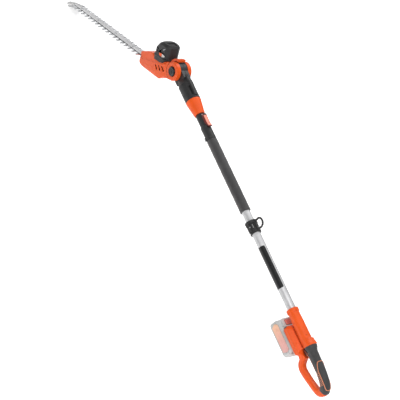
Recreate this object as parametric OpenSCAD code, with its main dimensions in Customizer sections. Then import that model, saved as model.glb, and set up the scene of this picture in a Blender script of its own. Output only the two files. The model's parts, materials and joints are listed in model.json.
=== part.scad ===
// Telescopic cordless pole hedge trimmer.
// The origin is the centre of the strap eye. The pole runs along X, with the cutting
// head at +X and the grip at -X. +Z is the top of the tool and +Y is its left side.

/* [Pole] */
// Outer diameter of the outer tube
tube_d = 28; // [27:0.5:30]
// Wall thickness of both tubes
tube_wall = 1.2; // [1:0.1:1.4]
// Outer diameter of the inner, sliding tube
inner_d = 25; // [24:0.5:25]
// Diameter of the foam fore grip
foam_d = 36; // [33:1:42]
// Length of the foam fore grip
foam_len = 282; // [150:1:284]
// Height of the strap eye above the pole axis
eye_height = 38; // [37:1:45]

/* [Cutting head] */
// Downward tilt of the head at rest, in degrees
tilt = 28.5; // [-25:0.5:70]
// Distance between two cutter teeth
tooth_pitch = 26; // [24:0.5:27]
// Number of teeth along each edge
tooth_count = 19; // [8:1:19]
// Half width of the blades across the tooth tips
tip_half = 31; // [27:1:33]
// Travel of each blade either side of its middle position
stroke = 8; // [5:0.5:8]
// Radius of the hinge ears
ear_r = 32.5; // [31:0.5:34]

/* [Rear handle] */
// Half width of the battery foot
foot_half = 32; // [31:1:36]
// Half width of the battery pack
pack_half = 38; // [36:1:42]
// Thickness of the hand grip and guard across the handle
loop_w = 26; // [24:1:30]

/* [Hidden] */
$fn = 48;
fit = 0.05;
gap = 0.3;
pole_z = -eye_height;
tube_r = tube_d / 2;
tube_in = tube_r - tube_wall;
inner_r = inner_d / 2;

// Stations along the pole, measured from the strap eye
pivot_x = 635;
neck_end = 508;
lead_end = 577;
cone_end = 449;
tube_front = 394;
sleeve_end = 349;
foam_front = 345;
band_front = -70;
band_len = 152;
handle_front = -296;
tube_rear = -375;
inner_front = neck_end + 18;
inner_rear = -262;

// Heights in the head, measured square to the blades from the tilt axis
blade_t = 2;
low_blade = -36.4;
up_blade = -34.2;
bar_base = -32;
bar_t = 2.5;
bar_half = 12;
body_half = 13;
tooth_start = 230;
motor_u = 88;
gear_teeth = 40;
pinion_teeth = 12;
gear_u = motor_u + (gear_teeth + pinion_teeth) / 2;
lobe_r = 6;
lobe_reach = lobe_r + stroke;
ear_in = 15;
ear_out = 29.5;
knuckle_half = 14.6;
bolt_u = [165, 290, 415, 540, 665];
lead_v = -14;

// Heights in the rear handle, measured from the pole axis
foot_bottom = -42;
pack_top = -44.5;
pack_bottom = -90;
pack_front = -300;
pack_rear = -418;
pack_split = -60;
tower_front = -337;
tower_rear = -414;
trigger_pin_x = -424;
trigger_pin_z = 1;
lock_x = -410;
lock_z = 3;
pack_screw_x = [-414, -304];
pack_screw_y = [-24, 24];
contact_y = [-12, 0, 12];

// ---- Helpers ----

module on_pole() {
    translate([0, 0, pole_z]) children();
}

module on_head() {
    translate([pivot_x, 0, pole_z]) rotate([0, tilt, 0]) children();
}

module rod_x(r, x0, x1) {
    translate([x0, 0, 0]) rotate([0, 90, 0]) cylinder(r = r, h = x1 - x0);
}

module cone_x(r0, r1, x0, x1) {
    translate([x0, 0, 0]) rotate([0, 90, 0]) cylinder(r1 = r0, r2 = r1, h = x1 - x0);
}

module rod_y(r, y0, y1) {
    translate([0, y0, 0]) rotate([-90, 0, 0]) cylinder(r = r, h = y1 - y0);
}

module rod_z(r, z0, z1) {
    translate([0, 0, z0]) cylinder(r = r, h = z1 - z0);
}

module block(x0, x1, half_y, z0, z1) {
    translate([x0, -half_y, z0]) cube([x1 - x0, 2 * half_y, z1 - z0]);
}

module span(x0, x1, y0, y1, z0, z1) {
    translate([x0, y0, z0]) cube([x1 - x0, y1 - y0, z1 - z0]);
}

// Extrudes a side outline, drawn as (x, z), from y0 to y1
module side(y0, y1) {
    translate([0, y1, 0]) rotate([90, 0, 0]) linear_extrude(y1 - y0) children();
}

module left_half() {
    intersection() {
        children();
        translate([-2000, 0, -1000]) cube([4000, 500, 2000]);
    }
}

module right_half() {
    intersection() {
        children();
        translate([-2000, -500, -1000]) cube([4000, 500, 2000]);
    }
}

module both_sides() {
    children();
    mirror([0, 1, 0]) children();
}

// A block with round corners seen from above
module round_slab(x0, x1, half_y, r, z0, z1) {
    translate([0, 0, z0]) linear_extrude(z1 - z0) round_plan(x0, x1, half_y, r);
}

module round_plan(x0, x1, half_y, r) {
    translate([x0 + r, -half_y]) square([x1 - x0 - 2 * r, 2 * half_y]);
    translate([x0, -half_y + r]) square([x1 - x0, 2 * (half_y - r)]);
    for (x = [x0 + r, x1 - r], y = [-half_y + r, half_y - r]) translate([x, y]) circle(r = r);
}

// Closed Catmull-Rom curve through the points p, with n steps between two of them
function curve_point(a, b, c, d, t) =
    0.5 * (2 * b + (c - a) * t + (2 * a - 5 * b + 4 * c - d) * t * t
        + (3 * b - a - 3 * c + d) * t * t * t);
function loop_curve(p, n = 4) = [
    for (i = [0 : len(p) - 1], k = [0 : n - 1])
        curve_point(p[(i + len(p) - 1) % len(p)], p[i], p[(i + 1) % len(p)],
            p[(i + 2) % len(p)], k / n)
];

// Spur gear outline with involute flanks
function involute(a) = tan(a) * 180 / PI - a;
function polar(r, a) = [r * cos(a), r * sin(a)];
module gear_plan(teeth, slack) {
    pressure = 25;
    pitch_r = teeth / 2;
    base_r = pitch_r * cos(pressure);
    tip_r = pitch_r + 0.85;
    root_r = pitch_r - 1.15;
    half = 90 / teeth - slack / pitch_r * 180 / PI + involute(pressure);
    radii = [for (k = [0 : 4]) base_r + (tip_r - base_r) * k / 4];
    flank = [for (r = radii) [r, half - involute(acos(base_r / r))]];
    polygon([
        for (i = [0 : teeth - 1]) each concat(
            [polar(root_r, i * 360 / teeth - half)],
            [for (k = [0 : 4]) polar(flank[k][0], i * 360 / teeth - flank[k][1])],
            [for (k = [4 : -1 : 0]) polar(flank[k][0], i * 360 / teeth + flank[k][1])],
            [polar(root_r, i * 360 / teeth + half)])
    ]);
}

// A compression spring, its turns leaning to and fro so that each meets the next
module spring_z(r, wire, z0, z1, turns = 4) {
    pitch = (z1 - z0 - wire) / turns;
    lean = asin(pitch / (2 * r));
    for (k = [0 : turns - 1])
        translate([0, 0, z0 + wire / 2 + (k + 0.5) * pitch])
            rotate([k % 2 == 0 ? lean : -lean, 0, 0])
                rotate_extrude() translate([r, 0]) circle(d = wire, $fn = 16);
}

module screw_z(r, length, head_r, head_h) {
    cylinder(r = head_r, h = head_h);
    translate([0, 0, -length]) cylinder(r = r, h = length);
}

// ---- Pole ----

module outer_tube() {
    color("gainsboro") on_pole() difference() {
        rod_x(tube_r, tube_rear, tube_front);
        rod_x(tube_in, tube_rear - 1, tube_front + 1);
    }
}

module foam_grip() {
    color([0.2, 0.2, 0.2]) on_pole() difference() {
        rod_x(foam_d / 2, foam_front - foam_len, foam_front);
        rod_x(tube_r + fit, foam_front - foam_len - 1, foam_front + 1);
    }
}

// A stuck-on film that wraps the left side of the tube only
film_t = 0.4;
film_edge_y = 2;
module tube_band() {
    color([0.1, 0.1, 0.1]) on_pole() intersection() {
        difference() {
            rod_x(tube_r + film_t, band_front - band_len, band_front);
            rod_x(tube_r + fit / 2, band_front - band_len - 1, band_front + 1);
        }
        span(band_front - band_len - 5, band_front + 5, film_edge_y, tube_d, -tube_d, tube_d);
    }
}

// The sleeve grips the outer tube and carries the lever that locks the inner tube
lever_pin_x = 438;
lever_pin_z = 19.5;
lever_half = 8;
clamp_screw_x = 355;
clamp_screw_turn = 59;
module at_clamp_screw() {
    translate([clamp_screw_x, 0, 0]) rotate([clamp_screw_turn, 0, 0]) children();
}

module clamp_sleeve() {
    color([0.25, 0.25, 0.25]) on_pole() difference() {
        union() {
            rod_x(17.4, sleeve_end, 400);
            cone_x(17.4, 15.4, 400, 403);
            rod_x(15.4, 403, cone_end - 0.8);
            span(lever_pin_x - 5, lever_pin_x + 5, -4, 4, 10, lever_pin_z);
            translate([lever_pin_x, 0, lever_pin_z]) rod_y(5, -4, 4);
        }
        rod_x(inner_r + gap, sleeve_end - 1, cone_end + 1);
        rod_x(tube_r + fit, sleeve_end - 1, tube_front + 1);
        translate([lever_pin_x, 0, lever_pin_z]) rod_y(2 + fit, -5, 5);
        at_clamp_screw() rod_z(2.5, -20, -13);
    }
}

module clamp_screw() {
    color("silver") on_pole() at_clamp_screw() translate([0, 0, -17.6])
        mirror([0, 0, 1]) screw_z(2.4, 3.4, 4.5, 3.6);
}

module lever_pin() {
    color("silver") on_pole() translate([lever_pin_x, 0, lever_pin_z])
        rod_y(2, -lever_half, lever_half);
}

module clamp_lever() {
    color("orangered") on_pole() difference() {
        union() {
            translate([lever_pin_x, 0, lever_pin_z]) rod_y(3.8, -lever_half, lever_half);
            side(-lever_half, lever_half) polygon([[lever_pin_x, lever_pin_z + 3.8],
                [425, 22.8], [410, 22.6], [398, 23.2], [388, 26], [386.5, 24.2], [395, 19.5],
                [410, 11], [430, 11], [lever_pin_x - 2, lever_pin_z - 3.2]]);
        }
        rod_x(15.4 + gap, 380, 450);
        cone_x(17.4 + 3 * gap, 15.4 + 2 * gap, 399, 404);
        rod_x(17.4 + 2 * gap, 380, 400);
        span(lever_pin_x - 6, lever_pin_x + 10, -4.4, 4.4, 10, 30);
        translate([lever_pin_x, 0, lever_pin_z]) rod_y(2 + fit, -lever_half - 1, lever_half + 1);
    }
}

// ---- Strap clamp ----

eye_half = 12;
eye_rod = 6;
strap_screw_y = 18.6;
module strap_rings() {
    rod_x(20, 14, 24);
    rod_x(16.8, -8, 14);
    rod_x(17.8, -20, -8);
    span(-14, 18, -21, 21, -6, 6);
}

module strap_bore() {
    rod_x(tube_r + fit, -30, 30);
    for (s = [-1, 1]) translate([2, s * strap_screw_y, 0]) rod_z(1.6, -10, 10);
}

module strap_clamp_top() {
    color([0.2, 0.2, 0.2]) on_pole() {
        difference() {
            intersection() {
                strap_rings();
                span(-30, 30, -30, 30, 0.4, 30);
            }
            strap_bore();
            both_sides() span(-5, 11, 8, 14, 11, 30);
        }
        difference() {
            side(-eye_rod / 2, eye_rod / 2) {
                translate([0, eye_height]) circle(r = eye_half + eye_rod);
                translate([-eye_half - eye_rod, 16]) square([2 * (eye_half + eye_rod), eye_height - 16]);
            }
            side(-eye_rod, eye_rod) {
                translate([0, eye_height]) circle(r = eye_half);
                translate([-eye_half, 24]) square([2 * eye_half, eye_height - 24]);
            }
            rod_x(tube_r + 2, -30, 30);
        }
    }
}

module strap_clamp_bottom() {
    color([0.2, 0.2, 0.2]) on_pole() difference() {
        intersection() {
            strap_rings();
            span(-30, 30, -30, 30, -30, -0.4);
        }
        strap_bore();
    }
}

module strap_screws() {
    color("silver") on_pole() for (s = [-1, 1]) translate([2, s * strap_screw_y, 6.05])
        screw_z(1.5, 11, 2.3, 1.6);
}

// ---- Rear handle ----

// Outline of the grip, its rounded end and the guard, round the finger opening
loop_outer = loop_curve([
    [-404, 17], [-413, 20.5], [-424, 24], [-436, 21], [-447, 14], [-470, 13.5], [-500, 13],
    [-530, 9], [-553, 2], [-570, -9], [-580, -27], [-575, -46], [-560, -58], [-540, -66],
    [-515, -73], [-485, -80], [-463, -82], [-448, -73], [-437, -57], [-431, -40], [-424, -24],
    [-408, -16]
]);
loop_inner = loop_curve([
    [-450, -12], [-480, -12], [-515, -14], [-540, -20], [-553, -31], [-548, -42], [-520, -51],
    [-488, -58], [-470, -60], [-461, -51], [-454, -35], [-449, -20]
]);

module trigger_slot() {
    side(-9.6, 9.6) polygon([[-416, 0], [-416, -20], [-423, -29], [-436, -31], [-458, -31],
        [-458, 0]]);
    side(-30, 30) polygon([[-427, -13], [-427, -23], [-436, -30], [-456, -30], [-460, -14],
        [-452, -11]]);
}

module handle_outer() {
    rod_x(20, handle_front - 12, handle_front);
    cone_x(18.5, 17.5, -340, handle_front - 12);
    rod_x(18.5, -404, -340);
    hull() {
        rod_x(18.5, -404, -400);
        translate([-424, 0, 4]) sphere(r = 20.5, $fn = 32);
        translate([-440, 0, 2]) sphere(r = 14, $fn = 32);
    }
    side(-loop_w / 2, loop_w / 2) difference() {
        polygon(loop_outer);
        polygon(loop_inner);
    }
    hull() {
        round_slab(-433, tower_front, foot_half, 10, foot_bottom, -26);
        round_slab(-426, -352, 14, 8, -17, -14);
    }
}

module handle_inner() {
    rod_x(tube_r + fit, tube_rear, 0);
    block(-400, tube_rear, 11, -11, 13);
    difference() {
        block(-438, -399, 11, -8, 12);
        span(-417, -403.4, -6, -4.5, -9, 13);
    }
    translate([lock_x, 0, lock_z]) rod_y(3.3, -8, 0);
    block(-415, -400, 4, -31, -7);
    block(-536, -437, 7, -6, 6);
    // battery channel, with a lip along each side that holds the pack
    block(-426, 0, 27, -38, -30.4);
    block(-426, 0, 21, foot_bottom - 1, -37);
    trigger_slot();
    translate([trigger_pin_x, 0, trigger_pin_z]) rod_y(2 + fit, -11.5, 11.5);
    // seat of the lock-off button, in the right-hand shell only
    translate([lock_x, -30, lock_z]) rod_y(6.3, 0, 20);
}

handle_screw_at = [[-318, -15.8], [-392, 15.2], [-452, 9.5], [-535, 4], [-572, -30], [-500, -67.5],
    [-455, -66]];
module handle_screw_holes() {
    for (p = handle_screw_at) translate([p[0], 0, p[1]]) {
        rod_y(1.6, -9, 9);
        rod_y(3.2, -30, -8.9);
    }
}

module handle_shell() {
    difference() {
        handle_outer();
        handle_inner();
        handle_screw_holes();
    }
}

module handle_left() {
    color("orangered") on_pole() left_half() handle_shell();
}

module handle_right() {
    color("orangered") on_pole() right_half() handle_shell();
}

module handle_screws() {
    color("silver") on_pole() for (p = handle_screw_at) translate([p[0], -8.9, p[1]])
        rotate([90, 0, 0]) screw_z(1.5, 16, 3, 2);
}

// Soft over-moulded sleeve around the grip
module grip_sleeve() {
    color([0.2, 0.2, 0.2]) on_pole() difference() {
        side(-15.5, 15.5) intersection() {
            offset(r = 2.5) difference() {
                polygon(loop_outer);
                polygon(loop_inner);
            }
            polygon([[-441, 30], [-446, -8], [-456, -18], [-560, -40], [-572, -24], [-566, 2],
                [-520, 30]]);
        }
        side(-loop_w / 2 - fit, loop_w / 2 + fit) offset(r = fit) difference() {
            polygon(loop_outer);
            polygon(loop_inner);
        }
        trigger_slot();
        translate([-440, 0, 2]) sphere(r = 14 + fit, $fn = 32);
        hull() {
            translate([-424, 0, 4]) sphere(r = 20.7, $fn = 32);
            translate([-440, 0, 2]) sphere(r = 14.2, $fn = 32);
        }
        for (p = handle_screw_at) translate([p[0], 0, p[1]]) rod_y(3.2, -30, -8);
    }
}

module trigger() {
    color([0.15, 0.15, 0.15]) on_pole() difference() {
        union() {
            side(-5.2, 5.2) polygon([[-420, 5], [-428, 5], [-452, -8], [-453, -14], [-447, -21],
                [-438, -24.5], [-428, -25], [-421, -20], [-419, -10]]);
            side(-9, 9) polygon([[-436, -3], [-452, -8], [-453, -14], [-447, -21], [-438, -24.5],
                [-430, -25], [-424, -21], [-424, -14], [-431, -10]]);
            translate([trigger_pin_x, 0, trigger_pin_z]) rod_y(4.6, -5.2, 5.2);
        }
        translate([trigger_pin_x, 0, trigger_pin_z]) rod_y(2 + fit, -6, 6);
    }
}

module trigger_pin() {
    color("silver") on_pole() translate([trigger_pin_x, 0, trigger_pin_z]) rod_y(2, -11, 11);
}

module trigger_spring() {
    color("silver") on_pole() translate([trigger_pin_x, 7, trigger_pin_z]) rotate([-90, 0, 0])
        spring_z(3, 0.8, 0, 3.6);
}

module lock_off_button() {
    color([0.15, 0.15, 0.15]) on_pole() translate([lock_x, 0, lock_z]) {
        rod_y(6, -21.5, -11.2);
        rod_y(3, -12, -5.4);
    }
}

module lock_off_spring() {
    color("silver") on_pole() translate([lock_x, -11, lock_z]) rotate([-90, 0, 0])
        spring_z(4.2, 0.8, 0, 5);
}

module power_switch() {
    color([0.1, 0.1, 0.1]) on_pole() {
        block(-399.5, -378, 10.5, -10, 2);
        block(-401.5, -399.5, 2, -5, -2);
        for (y = [-6, 0, 6]) span(-392, -386, y - 1, y + 1, 2, 8);
    }
}

module terminal_block() {
    color([0.1, 0.1, 0.1]) on_pole() {
        block(-425.9, -416, 20, -37.6, -30.5);
        for (y = contact_y) span(-416, -402, y - 0.4, y + 0.4, -36, -32);
    }
}

module handle_lead() {
    color("firebrick") on_pole() {
        block(-408, -405, 3, -30.4, -7);
        block(-405, -399.6, 3, -9.5, -7);
        rod_x(3, -378, inner_rear - 1);
    }
}

// ---- Battery pack ----

module pack_solid(inset) {
    hull() {
        round_slab(pack_rear + inset, pack_front - inset, pack_half - inset, 10 - inset, -84, -64);
        round_slab(pack_rear + 4 + inset, pack_front - 4 - inset, pack_half - 4 - inset, 8 - inset,
            pack_bottom + inset, -66);
        round_slab(pack_rear + 8 + inset, pack_front - 5 - inset, 27 - inset, 6 - inset,
            -66, pack_top - inset);
    }
}

module pack_space() {
    block(-409, -309, 33.4, -82.4, pack_split);
    for (y = contact_y) span(-417, -400, y - 2.2, y + 2.2, -36.8, -30.9);
}

module pack_tray() {
    color([0.3, 0.3, 0.3]) on_pole() difference() {
        pack_solid(0);
        span(-500, 0, -60, 60, pack_split, 0);
        pack_space();
        pack_panel_seat();
        for (x = pack_screw_x, y = pack_screw_y) translate([x, y, 0]) rod_z(1.6, -95, pack_split + 1);
    }
}

module pack_cover() {
    color([0.3, 0.3, 0.3]) on_pole() difference() {
        union() {
            intersection() {
                pack_solid(0);
                span(-500, 0, -60, 60, pack_split, 0);
            }
            // raised nose with the release button
            round_slab(-333.5, pack_front - 4, 24, 5, -50, -38);
            // T-shaped tower that rides in the foot of the handle
            block(tower_rear, tower_front + 1, 20.5, -50, -37.6);
            block(tower_rear, tower_front - 1, 26.5, -37.6, -31);
        }
        pack_space();
        block(-328.4, -309.6, 14.4, -45, -30);
        for (x = pack_screw_x, y = pack_screw_y) translate([x, y, 0]) rod_z(1.6, -95, -56);
    }
}

module pack_panel_seat() {
    both_sides() span(-408, -310, pack_half - 1.2, pack_half + 5, -83, -63);
}

module pack_panels() {
    color("salmon") on_pole() both_sides()
        span(-407.5, -310.5, pack_half - 1.15, pack_half + 0.4, -82.5, -63.5);
}

module pack_cells() {
    color("steelblue") on_pole() for (k = [0 : 4]) translate([-398.5 + k * 19.8, 0, -72.4])
        rod_y(9.2, -32.5, 32.5);
}

module pack_contacts() {
    color("gold") on_pole() for (y = contact_y, s = [-1, 1])
        span(-413.5, -400.5, y + s * 1.5 - 0.35, y + s * 1.5 + 0.35, -36.7, -31.5);
}

module pack_screws() {
    color("silver") on_pole() for (x = pack_screw_x, y = pack_screw_y) translate([x, y, -88])
        mirror([0, 0, 1]) screw_z(1.5, 28, 1.55, 0.2);
}

module release_button() {
    color("salmon") on_pole() block(-328, -310, 14, -42, -36);
}

module release_spring() {
    color("silver") on_pole() translate([-319, 0, 0]) spring_z(4, 0.8, -44.9, -42.05, 2);
}

// ---- Sliding tube, collar and neck ----

module inner_tube() {
    color("silver") on_pole() difference() {
        rod_x(inner_r, inner_rear, inner_front);
        rod_x(inner_r - tube_wall, inner_rear - 1, inner_front + 1);
    }
}

module slide_guide() {
    color("white") on_pole() difference() {
        rod_x(inner_r - tube_wall - fit, inner_rear, inner_rear + 12);
        rod_x(9.5, inner_rear - 1, inner_rear + 13);
    }
}

module coiled_cable() {
    color([0.1, 0.1, 0.1]) on_pole() {
        rod_x(7, inner_rear + 0.5, inner_front - 20);
        rod_x(3, inner_front - 20, lead_end);
    }
}

module cone_collar() {
    color("orangered") on_pole() difference() {
        union() {
            rod_x(26.5, neck_end - 8, neck_end - fit);
            cone_x(19, 26.5, cone_end, neck_end - 8);
        }
        rod_x(inner_r + fit, cone_end - 1, neck_end + 1);
    }
}

module neck_solid() {
    rod_x(26.5, neck_end, 573);
    cone_x(26.5, 19, 573, 595);
    translate([pivot_x, 0, 0]) rod_y(31, -knuckle_half, knuckle_half);
    block(590, pivot_x, knuckle_half, -26, 26);
    // spine along the top
    side(-6, 6) polygon([[514, 20], [516, 31], [562, 34], [570, 33], [592, 30], [608, 24],
        [608, 10]]);
}

neck_screw_at = [[536, 18.5], [536, -18.5], [580, 0], [600, 16], [600, -16]];
module neck_shell() {
    difference() {
        neck_solid();
        rod_x(inner_r + fit, neck_end - 1, inner_front + 1);
        rod_x(9, inner_front, 566);
        rod_x(3.4, 565, 606);
        translate([pivot_x, 0, 0]) rod_y(5.05, -20, 20);
        translate([pivot_x, 0, 0]) difference() {
            rod_y(24, -8, 8);
            rod_y(9, -9, 9);
        }
        for (p = neck_screw_at) translate([p[0], 0, p[1]]) {
            rod_y(1.6, -10, 10);
            rod_y(3, -40, -9.9);
        }
    }
}

module neck_left() {
    color([0.25, 0.25, 0.25]) on_pole() left_half() neck_shell();
}

module neck_right() {
    color([0.25, 0.25, 0.25]) on_pole() right_half() neck_shell();
}

module neck_screws() {
    color("silver") on_pole() for (p = neck_screw_at) translate([p[0], -10, p[1]])
        rotate([90, 0, 0]) screw_z(1.5, 18, 2.9, 2);
}

// ---- Cutting head: housing ----

// The housing is the part common to its side view, its plan and its front view
module housing_side() {
    polygon(loop_curve([
        [216, -17], [222, -28], [222, -44], [214, -55], [198, -60], [150, -62], [100, -62],
        [76, -60], [58, -50], [42, -38], [24, -30], [18, -8], [24, 14], [50, 15], [110, 14],
        [155, 8], [190, -6]
    ], 3));
}

module housing_plan() {
    polygon(loop_curve([
        [222, 0], [219, 11], [208, 17], [160, 24], [128, 29], [100, 31.5], [60, 31.5], [28, 28],
        [12, 20], [12, -20], [28, -28], [60, -31.5], [100, -31.5], [128, -29], [160, -24],
        [208, -17], [219, -11]
    ], 3));
}

module housing_front() {
    polygon([[17, -62], [27, -57], [31.5, -42], [31.5, 3], [27, 12], [20, 15], [-20, 15], [-27, 12],
        [-31.5, 3], [-31.5, -42], [-27, -57], [-17, -62]]);
}

module housing_body(wall) {
    intersection() {
        side(-40, 40) offset(delta = -wall) housing_side();
        translate([0, 0, -80]) linear_extrude(120) offset(delta = -wall) housing_plan();
        translate([-10, 0, 0]) rotate([90, 0, 90]) linear_extrude(260) offset(delta = -wall)
            housing_front();
    }
}

module cover_plan(inset) {
    round_plan(motor_u - 40 + inset, motor_u + 40 - inset, 32 - inset, 22 - inset);
}

module head_solid() {
    housing_body(0);
    both_sides() {
        rod_y(ear_r, ear_in, ear_out);
        side(ear_in, ear_out) polygon([[0, ear_r], [44, 15], [44, -38], [0, -ear_r]]);
    }
    // hood over the knuckle
    side(-ear_in, ear_in) intersection() {
        difference() {
            circle(r = 43);
            circle(r = 34);
        }
        polygon([[0, 0], [80, 20], [80, 80], [-5, 60]]);
    }
}

screw_post_at = [[190, -45], [134, -52], [46, -34], [40, 2]];
vent_at = [[53.5, -14.5], [72.5, -19], [91.5, -23]];
vent_lean = 52;
module head_shell() {
    difference() {
        head_solid();
        difference() {
            housing_body(2.6);
            rod_y(37, -40, 40);
            for (p = screw_post_at) translate([p[0], 0, p[1]]) rod_y(4.2, -40, 40);
        }
        // space for the neck between the ears
        rod_y(34, -ear_in, ear_in);
        span(-60, 0, -ear_in, ear_in, -60, 33);
        // seat of the motor cover
        linear_extrude(60) cover_plan(-0.2);
        // blade outlet in the nose
        block(150, 230, 16, -40, -28.5);
        translate([0, 0, lead_v]) rod_x(3.2, 28, 41);
        rod_y(5 + fit, -40, 40);
        rod_y(17.3, 19.5, 40);
        rod_y(9, -40, -23);
        for (p = vent_at, s = [-1, 1]) translate([p[0], s * 34, p[1]]) rotate([0, vent_lean, 0])
            cube([6, 14, 18], center = true);
        for (p = screw_post_at) translate([p[0], 0, p[1]]) {
            rod_y(1.6, -10, 10);
            rod_y(3.2, -50, -9.9);
        }
    }
}

module head_left() {
    color("orangered") on_head() left_half() head_shell();
}

module head_right() {
    color("orangered") on_head() right_half() head_shell();
}

module head_screws() {
    color("silver") on_head() for (p = screw_post_at) translate([p[0], -10, p[1]])
        rotate([90, 0, 0]) screw_z(1.5, 18, 3, 2);
}

module hinge_bolt() {
    color("silver") on_head() {
        rod_y(5, -23, 19);
        rod_y(8.6, -28.5, -23);
    }
}

module tilt_button() {
    color([0.15, 0.15, 0.15]) on_head() difference() {
        union() {
            rod_y(16.8, 25, 32);
            translate([0, 32, 0]) rotate([-90, 0, 0]) cylinder(r1 = 16.8, r2 = 10, h = 4);
        }
        rod_y(9, 24, 30);
    }
}

module tilt_spring() {
    color("silver") on_head() translate([0, 19.55, 0]) rotate([-90, 0, 0])
        spring_z(7, 1.4, 0, 10.4);
}

// The cover over the upright motor slopes down towards the blades
module cover_solid(inset) {
    hull() {
        linear_extrude(40 - inset / 2) cover_plan(inset);
        translate([0, 0, 60 - inset]) linear_extrude(2)
            round_plan(motor_u - 40 + inset, motor_u + 24 - inset, 31 - inset, 20 - inset);
        translate([0, 0, 68 - inset]) linear_extrude(2)
            round_plan(motor_u - 34 + inset, motor_u + 12 - inset, 24 - inset, 16 - inset);
    }
}

module motor_cover() {
    color([0.2, 0.2, 0.2]) on_head() difference() {
        cover_solid(0);
        translate([0, 0, -1]) cover_solid(2.6);
        // two air slots on each shoulder
        both_sides() for (k = [0, 1]) translate([motor_u + 22, 30, 36 + 9 * k]) rotate([0, -18, 0])
            cube([26, 24, 3], center = true);
    }
}

// ---- Cutting head: drive ----

module motor_can() {
    color("dimgray") on_head() translate([motor_u, 0, 0]) difference() {
        rod_z(21, -5.8, 52);
        rod_z(18.6, -4, 50);
        rod_z(2.55, -10, 60);
    }
}

module motor_magnets() {
    color("darkslategray") on_head() translate([motor_u, 0, 0]) difference() {
        rod_z(18.5, 4, 40);
        rod_z(13.5, 3, 41);
        for (s = [-1, 1]) translate([s * 16, 0, 22]) cube([12, 10, 50], center = true);
    }
}

module rotor() {
    color("peru") on_head() translate([motor_u, 0, 0]) {
        rod_z(2.5, -26, 56);
        rod_z(13, 6, 38);
        rod_z(6, 40, 47);
        translate([0, 0, -25]) linear_extrude(9) gear_plan(pinion_teeth, 0.12);
    }
}

module gearbox_frame() {
    color("lightgray") on_head() difference() {
        union() {
            round_slab(60, 142, 24, 8, -10, -6);
            translate([gear_u, 0, 0]) rod_z(11, -14, -8);
            for (u = [74, 134], y = [-21.7, 21.7]) translate([u, y, 0]) rod_z(2, -36.8, -8);
        }
        translate([motor_u, 0, 0]) rod_z(3.2, -20, 0);
        translate([gear_u, 0, 0]) rod_z(8.05, -20, 0);
    }
}

module gear_bearings() {
    color("gold") on_head() translate([gear_u, 0, 0]) {
        difference() {
            rod_z(8, -14, -6);
            rod_z(4.05, -20, 0);
        }
        difference() {
            rod_z(8, -44, -38);
            rod_z(4.05, -50, 0);
        }
    }
}

module drive_gear() {
    color("slategray") on_head() translate([gear_u, 0, 0]) {
        rod_z(4, -43.5, -7);
        rod_z(9, -31, -16);
        translate([0, 0, -24]) linear_extrude(6) rotate(180 / gear_teeth)
            gear_plan(gear_teeth, 0.12);
        translate([0, stroke - 1, up_blade]) cylinder(r = lobe_r, h = blade_t);
        translate([0, 1 - stroke, low_blade]) cylinder(r = lobe_r, h = blade_t);
    }
}

module blade_base() {
    color("silver") on_head() difference() {
        union() {
            round_slab(84, 206, 15.5, 4, -39.6, -36.8);
            round_slab(68, 140, 24, 4, -39.6, -36.8);
        }
        translate([gear_u, 0, 0]) rod_z(8.05, -60, 0);
        for (u = bolt_u) translate([u, 0, 0]) rod_z(2.6, -60, 0);
    }
}

// ---- Cutting head: blades ----

blade_rear = gear_u - lobe_reach - stroke - 5;
blade_end = tooth_start + (tooth_count - 1) * tooth_pitch + 16;
guard_rear = 655;
module tooth_plan(u, turn) {
    translate([u, 0]) rotate(turn) polygon([[7, body_half - 1], [3.8, tip_half - 2], [2.4, tip_half],
        [-2.4, tip_half], [-3.8, tip_half - 2], [-7, body_half - 1]]);
}

// Outline of one blade; far_shift moves the teeth of its right-hand edge
module blade_plan(far_shift) {
    difference() {
        union() {
            round_plan(blade_rear, 152, 19.5, 5);
            translate([140, -body_half]) square([blade_end - 150, 2 * body_half]);
            round_plan(blade_end - 20, blade_end, body_half, 6);
            for (k = [0 : tooth_count - 1]) tooth_plan(tooth_start + k * tooth_pitch, 0);
            for (k = [far_shift > 0 ? 1 : 0 : tooth_count - 1])
                tooth_plan(tooth_start + k * tooth_pitch - far_shift, 180);
        }
        // window that clears the crank lobes at any angle and any stroke
        round_plan(gear_u - lobe_reach - stroke - 0.5, gear_u + lobe_reach + stroke + 0.5, 14.5, 3);
        for (u = bolt_u) round_plan(u - stroke - 4.6, u + stroke + 4.6, 4.2, 4.1);
    }
}

module upper_blade() {
    color("lightsteelblue") on_head() translate([0, 0, up_blade]) linear_extrude(blade_t)
        blade_plan(0);
}

module lower_blade() {
    color("slategray") on_head() translate([0, 0, low_blade]) linear_extrude(blade_t)
        blade_plan(10);
}

module guide_bar() {
    color("whitesmoke") on_head() difference() {
        round_slab(148, blade_end - 4, bar_half, 3, bar_base, bar_base + bar_t);
        for (u = bolt_u) translate([u, 0, 0]) rod_z(2.6, -60, 0);
    }
}

// The nuts bear on the base plate, on the tip guard, or on the lower blade between them
function nut_top(u) = u < 210 ? -39.6 : u > guard_rear ? -39.4 : -36.8;
module blade_bolts() {
    color("silver") on_head() for (u = bolt_u) translate([u, 0, 0]) {
        rod_z(2.5, nut_top(u) - 3, bar_base + bar_t);
        rod_z(4, -36.6, bar_base - 0.02);
        translate([0, 0, bar_base + bar_t]) cylinder(r1 = 4.6, r2 = 3.8, h = 1.6);
        translate([0, 0, nut_top(u) - 2.4]) rotate(30) cylinder(r = 4.6, h = 2.4, $fn = 6);
    }
}

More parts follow.
